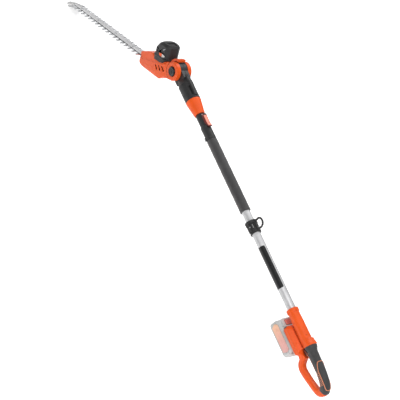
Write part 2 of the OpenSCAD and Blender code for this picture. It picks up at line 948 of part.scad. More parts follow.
module tip_guard() {
    color("gainsboro") on_head() translate([0, 0, -39.4]) difference() {
        linear_extrude(2.4) polygon(concat(
            [[guard_rear, -11], [blade_end - 20, -11], [blade_end - 10, -36], [blade_end, -36]],
            loop_curve([[blade_end + 26, -22], [blade_end + 44, 0], [blade_end + 26, 22]], 4),
            [[blade_end, 36], [blade_end - 10, 36], [blade_end - 20, 11], [guard_rear, 11]]));
        translate([bolt_u[4], 0, 0]) rod_z(2.6, -1, 5);
        translate([blade_end + 24, 0, 0]) rod_z(3.5, -1, 5);
    }
}

module head_lead() {
    color([0.1, 0.1, 0.1]) on_head() {
        translate([0, 0, lead_v]) rod_x(2.5, 34.5, 57.5);
        translate([55, 0, 0]) rod_z(2.5, lead_v, 20);
    }
}

outer_tube();
foam_grip();
clamp_sleeve();
clamp_screw();
lever_pin();
clamp_lever();
strap_clamp_top();
strap_clamp_bottom();
strap_screws();
tube_band();
handle_left();
handle_right();
handle_screws();
grip_sleeve();
trigger();
trigger_pin();
trigger_spring();
lock_off_button();
lock_off_spring();
power_switch();
terminal_block();
handle_lead();
pack_tray();
pack_cover();
pack_cells();
pack_contacts();
pack_screws();
pack_panels();
release_button();
release_spring();
inner_tube();
slide_guide();
cone_collar();
neck_left();
neck_right();
neck_screws();
coiled_cable();
head_left();
head_right();
head_screws();
hinge_bolt();
motor_cover();
motor_can();
motor_magnets();
rotor();
gearbox_frame();
drive_gear();
gear_bearings();
blade_base();
lower_blade();
upper_blade();
guide_bar();
blade_bolts();
tip_guard();
tilt_button();
tilt_spring();
head_lead();
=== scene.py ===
# Telescopic cordless pole hedge trimmer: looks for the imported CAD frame.
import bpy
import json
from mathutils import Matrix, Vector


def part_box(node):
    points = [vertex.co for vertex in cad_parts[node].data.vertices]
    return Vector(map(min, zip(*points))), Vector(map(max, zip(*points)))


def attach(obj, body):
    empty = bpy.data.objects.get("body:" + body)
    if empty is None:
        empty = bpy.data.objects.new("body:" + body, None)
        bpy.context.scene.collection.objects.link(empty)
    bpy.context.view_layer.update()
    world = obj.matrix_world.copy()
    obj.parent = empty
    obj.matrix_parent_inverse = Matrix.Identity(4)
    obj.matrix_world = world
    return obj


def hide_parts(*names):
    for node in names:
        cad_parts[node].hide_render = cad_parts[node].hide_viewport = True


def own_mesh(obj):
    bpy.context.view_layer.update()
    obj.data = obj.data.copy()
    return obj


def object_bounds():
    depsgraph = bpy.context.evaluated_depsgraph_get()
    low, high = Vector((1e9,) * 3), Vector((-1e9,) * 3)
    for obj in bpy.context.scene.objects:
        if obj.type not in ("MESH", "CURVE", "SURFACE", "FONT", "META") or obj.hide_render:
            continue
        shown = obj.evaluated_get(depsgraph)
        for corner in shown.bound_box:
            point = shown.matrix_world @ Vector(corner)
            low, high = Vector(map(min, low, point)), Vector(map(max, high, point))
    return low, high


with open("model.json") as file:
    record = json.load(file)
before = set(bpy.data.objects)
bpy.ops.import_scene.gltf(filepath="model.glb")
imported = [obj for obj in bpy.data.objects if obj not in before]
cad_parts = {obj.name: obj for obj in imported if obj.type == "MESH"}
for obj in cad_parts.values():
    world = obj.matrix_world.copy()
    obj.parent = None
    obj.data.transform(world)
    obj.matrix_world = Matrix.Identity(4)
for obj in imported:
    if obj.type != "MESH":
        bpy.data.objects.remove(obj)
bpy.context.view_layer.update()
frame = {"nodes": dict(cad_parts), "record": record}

import json
from math import atan2, copysign, cos, pi, radians, sin, sqrt, tan
import bmesh
import bpy
from mathutils import Matrix, Vector

NODES = frame["nodes"]
SLOTS = {part["node"]: part["material_slot"] for part in frame["record"]["subparts"]}
MM = 0.001


# ---- Places taken from the frame ----

def low(node, axis=0):
    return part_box(node)[0][axis] / MM


def high(node, axis=0):
    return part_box(node)[1][axis] / MM


def span(node):
    """Both ends along x, and the half width."""
    return low(node), high(node), high(node, 1)


pole_z = (low("outer_tube", 2) + high("outer_tube", 2)) / 2
tube_r = (high("outer_tube", 2) - low("outer_tube", 2)) / 2
tilt_joint = next(j for j in frame["record"]["behaviour"]["joints"] if j["name"] == "head_tilt")
slide_joint = next(j for j in frame["record"]["behaviour"]["joints"] if j["name"] == "upper_blade_slide")
pivot_x = tilt_joint["pos_m"][0] / MM
tilt = atan2(-slide_joint["axis"][2], slide_joint["axis"][0])

# Millimetre frames: the pole's axis, and the head's hinge with u along the blades
POLE = Matrix.Translation((0, 0, pole_z * MM)) @ Matrix.Scale(MM, 4)
HEAD = (Matrix.Translation((pivot_x * MM, 0, pole_z * MM)) @ Matrix.Rotation(tilt, 4, "Y")
        @ Matrix.Scale(MM, 4))


# ---- Materials ----

def node_tree(name):
    mat = bpy.data.materials.new(name)
    mat.use_nodes = True
    tree = mat.node_tree
    shader = next(n for n in tree.nodes if n.type == "BSDF_PRINCIPLED")
    return mat, tree, shader


def add(tree, kind, **values):
    made = tree.nodes.new(kind)
    for key, value in values.items():
        if hasattr(made, key) and key not in made.inputs:
            setattr(made, key, value)
        else:
            made.inputs[key].default_value = value
    return made


def ramp(tree, source, stops):
    made = tree.nodes.new("ShaderNodeValToRGB")
    tree.links.new(source, made.inputs["Fac"])
    points = made.color_ramp.elements
    for k, (at, shade) in enumerate(stops):
        point = points[k] if k < 2 else points.new(at)
        point.position = at
        point.color = (*shade, 1) if isinstance(shade, tuple) else (shade, shade, shade, 1)
    return made.outputs["Color"]


def mix(tree, factor, a, b, how="MIX"):
    made = tree.nodes.new("ShaderNodeMix")
    made.data_type = "RGBA"
    made.blend_type = how
    for socket, value in ((made.inputs[0], factor), (made.inputs[6], a), (made.inputs[7], b)):
        if isinstance(value, bpy.types.NodeSocket):
            tree.links.new(value, socket)
        elif isinstance(value, tuple):
            socket.default_value = (*value, 1)
        else:
            socket.default_value = value
    return made.outputs[2]


def edge_mask(tree, radius):
    """1 along edges and 0 on flats, where the bevelled normal is the true one."""
    bevel = add(tree, "ShaderNodeBevel", samples=4, Radius=radius)
    geometry = tree.nodes.new("ShaderNodeNewGeometry")
    dot = add(tree, "ShaderNodeVectorMath", operation="DOT_PRODUCT")
    tree.links.new(bevel.outputs["Normal"], dot.inputs[0])
    tree.links.new(geometry.outputs["Normal"], dot.inputs[1])
    return ramp(tree, dot.outputs["Value"], [(0.80, 1.0), (0.985, 0.0)])


def dress(tree, shader, base, rough, **values):
    """Links colour and roughness, and sets the shader's other inputs."""
    tree.links.new(base, shader.inputs["Base Color"])
    tree.links.new(rough, shader.inputs["Roughness"])
    for name, value in values.items():
        shader.inputs[name.replace("_", " ")].default_value = value


def coords(tree, scale=(1, 1, 1)):
    where = tree.nodes.new("ShaderNodeTexCoord")
    mapping = add(tree, "ShaderNodeMapping", Scale=scale)
    tree.links.new(where.outputs["Object"], mapping.inputs["Vector"])
    return mapping.outputs["Vector"]


def noise(tree, scale, detail=4, rough=0.55, stretch=(1, 1, 1)):
    made = add(tree, "ShaderNodeTexNoise", Scale=scale, Detail=detail, Roughness=rough)
    tree.links.new(coords(tree, stretch), made.inputs["Vector"])
    return made.outputs["Fac"]


def cells(tree, scale, stretch=(1, 1, 1)):
    made = add(tree, "ShaderNodeTexVoronoi", Scale=scale)
    tree.links.new(coords(tree, stretch), made.inputs["Vector"])
    return made.outputs["Distance"]


def bump(tree, shader, height, strength, distance):
    made = add(tree, "ShaderNodeBump", Strength=strength, Distance=distance)
    tree.links.new(height, made.inputs["Height"])
    before = shader.inputs["Normal"]
    if before.is_linked:
        tree.links.new(before.links[0].from_socket, made.inputs["Normal"])
    tree.links.new(made.outputs["Normal"], before)


def painted_crevice_shade(tree, reach, dark):
    """Painted shade in grooves and seams, darker where ambient occlusion is low, 1 on open surfaces."""
    made = add(tree, "ShaderNodeAmbientOcclusion", samples=4, Distance=reach)
    return ramp(tree, made.outputs["AO"], [(0.30, dark), (0.80, 1.0)])


def moulded(name, shade, worn, rough, grain=900, relief=0.00006, coat=0.0, wear=0.5):
    """Moulded plastic: fine grain, faint flow marks, paler worn edges and painted shade in its crevices."""
    mat, tree, shader = node_tree(name)
    deep = tuple(c * 0.86 for c in shade)
    cloud = ramp(tree, noise(tree, 14, 5), [(0.35, deep), (0.68, shade)])
    fine = ramp(tree, noise(tree, grain * 0.5, 2), [(0.3, 0.93), (0.7, 1.05)])
    base = mix(tree, 1.0, cloud, fine, "MULTIPLY")
    # painted shade: the colour darkens in grooves and seams, where ambient occlusion is low
    base = mix(tree, 1.0, base, painted_crevice_shade(tree, 0.006, 0.30), "MULTIPLY")
    scuffs = ramp(tree, noise(tree, 55, 8, 0.7, (1, 1, 0.25)), [(0.60, 0.0), (0.74, 1.0)])
    rubbed = mix(tree, 1.0, edge_mask(tree, 0.0011),
            ramp(tree, noise(tree, 90, 6, 0.65), [(0.38, 0.0), (0.62, wear)]), "MULTIPLY")
    base = mix(tree, rubbed, base, worn)
    gloss = mix(tree, scuffs, ramp(tree, noise(tree, 35, 4), [(0.3, rough - 0.05), (0.7, rough + 0.07)]),
            (rough + 0.14,) * 3)
    dress(tree, shader, base, gloss, Specular_IOR_Level=0.34, Coat_Weight=coat, Coat_Roughness=0.35)
    bump(tree, shader, cells(tree, grain), 0.35, relief)
    bump(tree, shader, noise(tree, 60, 3), 0.12, 0.0002)
    return mat


def foam_rubber(name, shade, grain, relief, rough=0.92):
    """Closed-cell foam: open pores of two sizes, soft sheen and rubbed paler patches."""
    mat, tree, shader = node_tree(name)
    pale = tuple(min(1, c * 1.7) for c in shade)
    cloud = ramp(tree, noise(tree, 22, 5), [(0.3, shade), (0.75, pale)])
    pores = ramp(tree, cells(tree, grain), [(0.12, 0.35), (0.42, 1.0)])
    base = mix(tree, 1.0, cloud, pores, "MULTIPLY")
    gloss = ramp(tree, noise(tree, 40, 4), [(0.3, rough - 0.08), (0.7, min(1, rough + 0.06))])
    dress(tree, shader, base, gloss, Sheen_Weight=0.25, Sheen_Roughness=0.5, Specular_IOR_Level=0.55)
    bump(tree, shader, cells(tree, grain), 0.8, relief)
    bump(tree, shader, noise(tree, grain * 0.4, 5, 0.7), 0.5, relief * 1.6)
    return mat


def metal(name, shade, rough, stretch=(1, 1, 1), streak=600, scratch=0.5, metallic=1.0):
    """Metal with drawn or ground streaks, thin scratches and handling marks."""
    mat, tree, shader = node_tree(name)
    dull = tuple(c * 0.82 for c in shade)
    lines = noise(tree, streak, 3, 0.6, stretch)
    cloud = ramp(tree, noise(tree, 18, 6, 0.6), [(0.3, dull), (0.6, shade)])
    base = mix(tree, 1.0, cloud, ramp(tree, lines, [(0.3, 0.88), (0.7, 1.04)]), "MULTIPLY")
    marks = ramp(tree, noise(tree, 30, 9, 0.75), [(0.35, rough - 0.05), (0.75, rough + 0.16)])
    gloss = mix(tree, 0.35, marks, ramp(tree, lines, [(0.3, rough - 0.06), (0.7, rough + 0.12)]))
    dress(tree, shader, base, gloss, Metallic=metallic)
    bump(tree, shader, lines, scratch * 0.3, 0.00003)
    return mat


def faded_label(name):
    """Glossy panel that fades from pale orange to pink along the pack."""
    mat, tree, shader = node_tree(name)
    split = tree.nodes.new("ShaderNodeSeparateXYZ")
    tree.links.new(coords(tree), split.inputs[0])
    shift = add(tree, "ShaderNodeMapRange", **{"From Min": -0.415, "From Max": -0.31})
    tree.links.new(split.outputs["X"], shift.inputs["Value"])
    fade = ramp(tree, shift.outputs["Result"], [(0.0, (0.76, 0.40, 0.38)), (1.0, (0.93, 0.54, 0.33)),
            (0.45, (0.84, 0.42, 0.36))])
    flecks = ramp(tree, noise(tree, 160, 5), [(0.3, 0.94), (0.7, 1.03)])
    gloss = ramp(tree, noise(tree, 40, 5), [(0.3, 0.26), (0.7, 0.38)])
    dress(tree, shader, mix(tree, 1.0, fade, flecks, "MULTIPLY"), gloss, Coat_Weight=0.2)
    bump(tree, shader, noise(tree, 220, 4), 0.1, 0.00004)
    return mat


ORANGE = (0.94, 0.112, 0.011)
ORANGE_WORN = (1.0, 0.26, 0.10)
DARK = (0.030, 0.030, 0.031)
DARK_WORN = (0.12, 0.12, 0.12)

LOOKS = {
    "orange_plastic": (moulded, ORANGE, ORANGE_WORN, 0.46),
    "dark_plastic": (moulded, DARK, DARK_WORN, 0.50, 900, 0.00006, 0.05),
    "foam": (foam_rubber, (0.030, 0.029, 0.030), 700, 0.0003, 0.62),
    "soft_grip": (foam_rubber, (0.028, 0.028, 0.029), 1500, 0.0001, 0.72),
    "tube_metal": (metal, (0.68, 0.68, 0.69), 0.52, (0.02, 1, 1), 900, 0.2, 0.55),
    "band": (moulded, (0.012, 0.012, 0.013), (0.1, 0.1, 0.1), 0.30, 300, 0.00002, 0.2),
    "steel": (metal, (0.60, 0.61, 0.63), 0.30, (1, 0.04, 1), 800),
    "screw_steel": (metal, (0.52, 0.53, 0.55), 0.32),
    "pack_grey": (moulded, (0.62, 0.625, 0.62), (0.75, 0.75, 0.75), 0.5),
    "pack_label": (faded_label,),
    "white_plastic": (moulded, (0.80, 0.80, 0.78), (0.9, 0.9, 0.9), 0.45),
    "copper": (metal, (0.78, 0.36, 0.16), 0.35, (1, 1, 0.05), 700),
    "brass": (metal, (0.78, 0.56, 0.22), 0.30),
    "cell_wrap": (moulded, (0.05, 0.17, 0.42), (0.2, 0.35, 0.6), 0.28, 400, 0.00002, 0.4),
    "cable": (moulded, (0.02, 0.02, 0.02), (0.06, 0.06, 0.06), 0.5),
    "piping": (moulded, (0.86, 0.30, 0.15), (0.9, 0.5, 0.4), 0.45),
    # the lever's sides get a dark red painted shade, and its top panel a pale pink painted highlight
    "lever_shade": (moulded, (0.16, 0.012, 0.008), (0.5, 0.08, 0.04), 0.42),
    "lever_panel": (moulded, (0.95, 0.27, 0.17), (1.0, 0.55, 0.45), 0.34, 900, 0.00006, 0.2),
    "key_pink": (moulded, (0.80, 0.25, 0.21), (0.9, 0.5, 0.45), 0.40),
    # dark red painted shade for the walls of the shallow vent pockets
    "vent_shade": (moulded, (0.10, 0.008, 0.004), (0.3, 0.03, 0.02), 0.60),
    "accent_pale": (moulded, (0.62, 0.60, 0.58), (0.8, 0.8, 0.8), 0.35, 900, 0.00006, 0.2),
    "button_black": (moulded, (0.012, 0.012, 0.013), (0.08, 0.08, 0.08), 0.28, 900, 0.00006, 0.3),
    "ground_edge": (metal, (0.85, 0.86, 0.88), 0.2, (0.03, 1, 1), 1500, 0.8),
    "bar_steel": (metal, (0.84, 0.84, 0.85), 0.42, (0.01, 1, 1), 500, 0.2, 0.75),
    # near black painted shade for the sides of the guide bar
    "bar_edge": (metal, (0.05, 0.05, 0.052), 0.45, (0.05, 1, 1), 700),
    "guard_pale": (moulded, (0.50, 0.50, 0.50), (0.75, 0.75, 0.75), 0.4, 600, 0.00003, 0.2),
}
MATERIALS = {name: kind(name, *values) for name, (kind, *values) in LOOKS.items()}
for name, obj in NODES.items():
    obj.data.materials.clear()
    obj.data.materials.append(MATERIALS[SLOTS[name]])


# ---- Mesh tools ----

def new_object(name, mesh):
    obj = bpy.data.objects.new(name, mesh)
    bpy.context.scene.collection.objects.link(obj)
    return obj


def from_faces(name, verts, faces, where):
    """A closed mesh from millimetre points in one of the two frames, its normals made consistent."""
    mesh = bpy.data.meshes.new(name)
    mesh.from_pydata([where @ Vector(v) for v in verts], [], faces)
    work = bmesh.new()
    work.from_mesh(mesh)
    bmesh.ops.remove_doubles(work, verts=work.verts, dist=1e-7)
    bmesh.ops.recalc_face_normals(work, faces=work.faces)
    work.to_mesh(mesh)
    work.free()
    return new_object(name, mesh)


def copied(name, *nodes):
    """One object with copies of the CAD nodes' meshes."""
    work = bmesh.new()
    for node in nodes:
        mesh = NODES[node].data.copy()
        mesh.transform(NODES[node].matrix_world)
        work.from_mesh(mesh)
        bpy.data.meshes.remove(mesh)
    bmesh.ops.remove_doubles(work, verts=work.verts, dist=1e-6)
    mesh = bpy.data.meshes.new(name)
    work.to_mesh(mesh)
    work.free()
    return new_object(name, mesh)


def settle(obj):
    """Puts the result of the modifiers into the mesh."""
    bpy.context.view_layer.update()
    graph = bpy.context.evaluated_depsgraph_get()
    done = bpy.data.meshes.new_from_object(obj.evaluated_get(graph))
    obj.modifiers.clear()
    before = obj.data
    obj.data = done
    bpy.data.meshes.remove(before)
    return obj


def merge(obj, *others):
    """Adds the other meshes to this one without joining their surfaces."""
    work = bmesh.new()
    work.from_mesh(obj.data)
    for other in others:
        work.from_mesh(other.data)
        bpy.data.objects.remove(other)
    work.to_mesh(obj.data)
    work.free()
    return obj


def combine(obj, other, how="DIFFERENCE"):
    change = obj.modifiers.new("combine", "BOOLEAN")
    change.operation = how
    change.object = other
    change.solver = "EXACT"
    settle(obj)
    bpy.data.objects.remove(other)
    return obj


def melt(obj, voxel, rounds, keep=1.0):
    """Fuses overlapping solids and softens their edges, as a moulding's edges are."""
    change = obj.modifiers.new("fuse", "REMESH")
    change.mode = "VOXEL"
    change.voxel_size = voxel * MM
    if rounds:
        change = obj.modifiers.new("soften", "SMOOTH")
        change.factor = 0.5
        change.iterations = rounds
    if keep < 1:
        change = obj.modifiers.new("thin", "DECIMATE")
        change.ratio = keep
    return settle(obj)


def half_of(obj, left):
    """Keeps one side of the middle plane and closes the cut."""
    y0, y1 = (0, 200) if left else (-200, 0)
    return combine(obj, box_of("side", -2000, 2000, y0, y1, -2000, 2000), "INTERSECT")


def rounded(obj, width, angle=35, segments=3):
    change = obj.modifiers.new("round", "BEVEL")
    change.width = width * MM
    change.segments = segments
    change.limit_method = "ANGLE"
    change.angle_limit = radians(angle)
    return settle(obj)


def finished(obj, body, slot_name, *stands_for, smooth_to=38, look=None):
    """Shades a piece, gives it its material and ties it to its body."""
    obj.data.polygons.foreach_set("use_smooth", [True] * len(obj.data.polygons))
    obj.data.set_sharp_from_angle(angle=radians(smooth_to))
    obj.data.materials.clear()
    obj.data.materials.append(MATERIALS[look or slot_name])
    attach(obj, body)
    if stands_for:
        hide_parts(*stands_for)
    return obj


# ---- Shapes ----

def fillet(points, steps=4):
    """A closed outline with its corners (a, b, radius) rounded."""
    out = []
    for k, point in enumerate(points):
        here = Vector(point[:2])
        radius = point[2] if len(point) > 2 else 0
        before = Vector(points[k - 1][:2]) - here
        after = Vector(points[(k + 1) % len(points)][:2]) - here
        if not radius or min(before.length, after.length) < 1e-6:
            out.append(here)
            continue
        half = before.angle(after, pi) / 2
        reach = min(radius / tan(half), before.length * 0.49, after.length * 0.49)
        start, end = here + before.normalized() * reach, here + after.normalized() * reach
        for i in range(steps + 1):
            t = i / steps
            out.append(start * (1 - t) ** 2 + here * 2 * t * (1 - t) + end * t ** 2)
    return out


def smooth_line(points, steps=6, closed=False):
    """Catmull-Rom curve through points of any dimension."""
    pts = [Vector(p) for p in points]
    count = len(pts)
    out = []
    for i in range(count if closed else count - 1):
        a, b = pts[i - 1] if i or closed else pts[0], pts[i]
        c = pts[(i + 1) % count]
        d = pts[(i + 2) % count] if closed or i + 2 < count else pts[-1]
        for k in range(steps):
            t = k / steps
            out.append(0.5 * (2 * b + (c - a) * t + (2 * a - 5 * b + 4 * c - d) * t * t
                              + (3 * b - a - 3 * c + d) * t ** 3))
    if not closed:
        out.append(pts[-1])
    return out


def tube_of(name, rings, where=POLE, closed=False):
    """A skin over rings of points, closed at its ends or back on itself."""
    size = len(rings[0])
    verts = [p for ring in rings for p in ring]
    faces = []
    for i in range(len(rings) - (0 if closed else 1)):
        a, b = i * size, (i + 1) % len(rings) * size
        faces += [(a + k, a + (k + 1) % size, b + (k + 1) % size, b + k) for k in range(size)]
    if not closed:
        faces += [tuple(range(size - 1, -1, -1)), tuple(range(len(verts) - size, len(verts)))]
    return from_faces(name, verts, faces, where)


def lathe(name, profile, where=POLE, turns=72, lobes=None, centre=(0, 0), along="x"):
    """Turns a closed outline of (distance along, radius) about the axis."""
    rings = []
    for k in range(turns):
        angle = 2 * pi * k / turns
        ring = []
        for i, (a, r) in enumerate(profile):
            r *= lobes(i, angle) if lobes else 1
            b, c = centre[0] + r * cos(angle), centre[1] + r * sin(angle)
            ring.append({"x": (a, b, c), "y": (b, a, c), "z": (b, c, a)}[along])
        rings.append(ring)
    return tube_of(name, rings, where, closed=True)


def prism(name, outline, lo, hi, where=POLE, along="y"):
    """Extrudes an outline: (x, z) along y, (x, y) along z, or (y, z) along x."""
    def at(p, d):
        return {"y": (p[0], d, p[1]), "z": (p[0], p[1], d), "x": (d, p[0], p[1])}[along]
    return tube_of(name, [[at(p, lo) for p in outline], [at(p, hi) for p in outline]], where)


def box_of(name, x0, x1, y0, y1, z0, z1, where=POLE, radius=0.0):
    """A block; with a radius its edges are rounded."""
    made = prism(name, [(x0, z0), (x1, z0), (x1, z1), (x0, z1)], y0, y1, where)
    return rounded(made, radius) if radius else made


def cut_box(obj, *spans, where=POLE, radius=0.0):
    return combine(obj, box_of("cutter", *spans, where, radius))


def rect(x0, y0, x1, y1, radius=0.0):
    return [(x0, y0, radius), (x1, y0, radius), (x1, y1, radius), (x0, y1, radius)]


def ring_profile(x0, x1, inner, outer, soft):
    return fillet([(x0, inner), (x1, inner), (x1, outer, soft), (x0, outer, soft)], 2)


def superellipse(angle, power):
    """Factors of the two half sizes, from the first one towards the second."""
    return [copysign(abs(part) ** (2 / power), part) for part in (cos(angle), sin(angle))]


def joined(name, parts):
    made = merge(*parts)
    made.name = name
    return made


def repaint(obj, look, chosen):
    """A second material on the faces that the test picks."""
    obj.data.materials.append(MATERIALS[look])
    for face in obj.data.polygons:
        if chosen(face):
            face.material_index = 1


def swept(name, path, radius, where=POLE, count=12):
    """A round bar along a line of points."""
    rings = []
    side = None
    for i, p in enumerate(path):
        ahead = (path[min(i + 1, len(path) - 1)] - path[max(i - 1, 0)]).normalized()
        if side is None:
            side = ahead.orthogonal().normalized()
        side = (side - ahead * side.dot(ahead)).normalized()
        up = ahead.cross(side)
        rings.append([p + radius * (cos(t) * side + sin(t) * up)
                      for t in (2 * pi * k / count for k in range(count))])
    return tube_of(name, rings, where)


def islands(node):
    """The box of each separate solid of a node, in metres."""
    work = bmesh.new()
    work.from_mesh(NODES[node].data)
    bmesh.ops.remove_doubles(work, verts=work.verts, dist=1e-6)
    todo = set(work.verts)
    found = []
    while todo:
        reach = [todo.pop()]
        group = []
        while reach:
            v = reach.pop()
            group.append(NODES[node].matrix_world @ v.co)
            for e in v.link_edges:
                other = e.other_vert(v)
                if other in todo:
                    todo.remove(other)
                    reach.append(other)
        found.append((Vector(min(p[i] for p in group) for i in range(3)),
                      Vector(max(p[i] for p in group) for i in range(3))))
    work.free()
    return sorted(found, key=lambda b: tuple(b[0]))


BODY_OF = {node: body for body, nodes in frame["record"]["behaviour"]["bodies"].items() for node in nodes}


# ---- Pole ----

def make_pole():
    wall = 1.2
    for name, node, radius in (("outer_tube_skin", "outer_tube", tube_r),
            ("inner_tube_skin", "inner_tube", high("inner_tube", 1))):
        profile = fillet([(low(node), radius - wall, 0.4), (high(node), radius - wall, 0.4),
                          (high(node), radius, 0.4), (low(node), radius, 0.4)], 2)
        finished(lathe(name, profile, POLE, 96), BODY_OF[node], "tube_metal", node)

    # Foam grip: rounded ends and a very slight swell
    a, b, r = span("foam_grip")
    swell = [(b - 4 - (b - a - 8) * k / 24, r + 0.25 * sin(k * 1.9) - 0.25) for k in range(25)]
    profile = fillet([(a, tube_r + 0.05), (b, tube_r + 0.05), (b, r - 1.8, 1.5), (b - 1.6, r, 2)] + swell
            + [(a + 1.6, r, 2), (a, r - 1.8, 1.5)], 4)
    foam = finished(lathe("foam_grip_sleeve", profile, POLE, 96), "root", "foam", "foam_grip")

    # The film wraps the left side of the tube, with round corners
    a, b, r = span("tube_band")
    reach, steps, corner = radians(82), 48, 5
    rings = []
    for k in range(steps + 1):
        turn = -reach + 2 * reach * k / steps
        short = max(0, corner - (reach - abs(turn)) * r)
        inset = corner - sqrt(corner ** 2 - short ** 2)
        under = tube_r + 0.02
        ends = ((a + inset, under), (b - inset, under), (b - inset, r), (a + inset, r))
        rings.append([(x, s * cos(turn), s * sin(turn)) for x, s in ends])
    finished(tube_of("tube_band_film", rings), "root", "band", "tube_band")

    # Cone collar with a rolled lip at the neck and a fine step near the sleeve
    a, b, r = span("cone_collar")
    bore = high("inner_tube", 1) + 0.05
    small = 19
    profile = fillet([(a, bore), (b, bore), (b, r - 0.8, 0.8), (b - 1.2, r, 1.2), (b - 7, r, 6),
            (b - 9, r - 0.5, 3),
                      (a + 5, small + 0.5, 2), (a + 4.2, small - 0.1, 0.6), (a, small - 0.3, 1.4)], 5)
    finished(lathe("cone_collar_shell", profile, POLE, 96), "mast", "orange_plastic", "cone_collar")


# ---- Telescope clamp ----

SLEEVE_R = 17.4
SCREW_TURN = radians(59)


def make_clamp():
    sleeve = copied("clamp_sleeve_shell", "clamp_sleeve")
    a, b = low("clamp_sleeve"), high("clamp_sleeve")
    seat = fillet([(a - 3.8, 14.1), (a + 1, 14.1), (a + 1, 17.1), (a - 3.8, 17.1, 0.5)], 2)
    merge(sleeve, lathe("foam_seat", seat))
    screw_x = (low("clamp_screw") + high("clamp_screw")) / 2
    boss_at = POLE @ Matrix.Translation((screw_x, 0, 0)) @ Matrix.Rotation(SCREW_TURN, 4, "X")
    boss = fillet([(-20.6, 4.75, 0.3), (-20.6, 6.1, 0.5), (-15, 6.6), (-15, 4.75)], 2)
    merge(sleeve, lathe("boss", boss, boss_at, 40, along="z"))
    for x in (a + 4, a + 46):
        merge(sleeve, lathe("ring", ring_profile(x, x + 3, 15.8, SLEEVE_R + 0.55, 0.5)))
    melt(sleeve, 0.6, 3, 0.5)
    for k in range(5):
        turn = radians(-60 - 15 * k)
        y, z = cos(turn) * 18.4, sin(turn) * 18.4
        cut_box(sleeve, a + 14, a + 40, y - 1.1, y + 1.1, z - 1.1, z + 1.1, radius=0.4)
    finished(sleeve, "root", "dark_plastic", "clamp_sleeve", smooth_to=45)

    # Lever: dark red sides painted as shade, under a pale pink top panel painted as a highlight, with finger ridges
    lever = melt(copied("clamp_lever_blade", "clamp_lever"), 0.5, 3, 0.6)
    finished(lever, "lever", "orange_plastic", "clamp_lever", smooth_to=45, look="lever_shade")
    tip, pin_x = low("clamp_lever"), (low("lever_pin") + high("lever_pin")) / 2
    top = [(pin_x - 4, 21.6), (pin_x - 4, 24.2, 1.5), (pin_x - 13, 23.6, 4), (pin_x - 28, 23.4, 4)]
    end = [(tip + 13, 24.0, 3), (tip + 4.5, 26.3, 1), (tip + 4, 25, 0.6), (tip + 13, 22.3)]
    outline = fillet(top + end + [(pin_x - 28, 21.6), (pin_x - 13, 21.6)], 4)
    panel = rounded(prism("clamp_lever_panel", outline, -6.6, 6.6), 0.5, 40, 3)
    for k in range(3):
        x = tip + 15 + 3.4 * k
        cut_box(panel, x, x + 1.1, -5, 5, 22.9, 26, radius=0.3)
    finished(panel, "lever", "orange_plastic", smooth_to=45, look="lever_panel")

    strap_top = copied("strap_clamp_upper", "strap_clamp_top")
    half, rod = 12, 6
    cut_box(strap_top, -40, 40, -20, 20, 22, 80)
    reach = half + rod / 2
    eye_z = -pole_z
    path = [Vector((-reach, 0, 15))] + [Vector((-reach, 0, eye_z - 10))]
    path += [Vector((-reach * cos(t), 0, eye_z + reach * sin(t))) for t in (pi * k / 20 for k in range(21))]
    path += [Vector((reach, 0, eye_z - 10)), Vector((reach, 0, 15))]
    merge(strap_top, swept("eye", path, rod / 2 + 0.35, POLE, 20))
    for x in (-reach, reach):
        merge(strap_top, box_of("root", x - 3.4, x + 3.4, -4.4, 4.4, 16.4, 21, radius=1.5))
    strap_low = copied("strap_clamp_lower", "strap_clamp_bottom")
    for shell, z0, z1, node in ((strap_top, 0.4, 60, "strap_clamp_top"),
            (strap_low, -60, -0.4, "strap_clamp_bottom")):
        for x0, x1, r in ((19.5, 24.0, 20.9), (14.0, 16.0, 20.9), (-8.5, -4.0, 19.0), (-20.0, -17.5, 18.8)):
            ring = lathe("ring", ring_profile(x0, x1, 15.5, r, 0.6))
            merge(shell, combine(ring, box_of("side", -60, 60, -60, 60, z0, z1), "INTERSECT"))
        melt(shell, 0.42, 2, 0.5)
        for sign in (1, -1):
            y0, y1 = sorted((sign * 20.4, sign * 24))
            cut_box(shell, -9, 11, y0, y1, max(z0, -4.4), min(z1, 4.4), radius=0.3)
        finished(shell, "root", "dark_plastic", node, smooth_to=50)


# ---- Rear handle ----

# Grip, end and guard of the D handle: x, z, half thickness in the plane, half width
LOOP = [(-422, 2, 17, 17), (-436, 1.5, 15.5, 15), (-450, 1, 13.5, 14), (-470, 0.8, 12.7, 13.6),
        (-495, 0.2, 12.6, 13.2), (-520, -2.2, 12.7, 13), (-543, -7.6, 12.8, 13),
        (-558, -15.5, 13.0, 13), (-566.5, -29, 13, 13), (-562, -44.5, 11.8, 13),
        (-549, -53.5, 10.2, 12.6), (-520, -62.5, 9.8, 12), (-492, -68.8, 10.4, 12),
        (-469, -71.3, 10.8, 12.4), (-455, -64, 10.8, 12.8), (-446, -49, 10.4, 13),
        (-440, -35, 10.6, 13), (-433, -22, 11, 13), (-422, -10, 11, 13)]


SHOULDER = (0, 3.6)
SKIN_FRONT = -427.2
LOCK_AT = (-410, 3)
BARREL_R = 18.45


def loop_frames(steps=6):
    """Centre, outward direction and half sizes along the grip, its end and the guard."""
    curve = smooth_line([Vector(p) for p in LOOP], steps)
    out = []
    for i, p in enumerate(curve):
        a, b = curve[max(i - 1, 0)], curve[min(i + 1, len(curve) - 1)]
        ahead = Vector((b[0] - a[0], 0, b[1] - a[1])).normalized()
        outward = Vector((-ahead.z, 0, ahead.x)) * -1
        out.append((Vector((p[0], 0, p[1])), outward, p[2], p[3]))
    return out


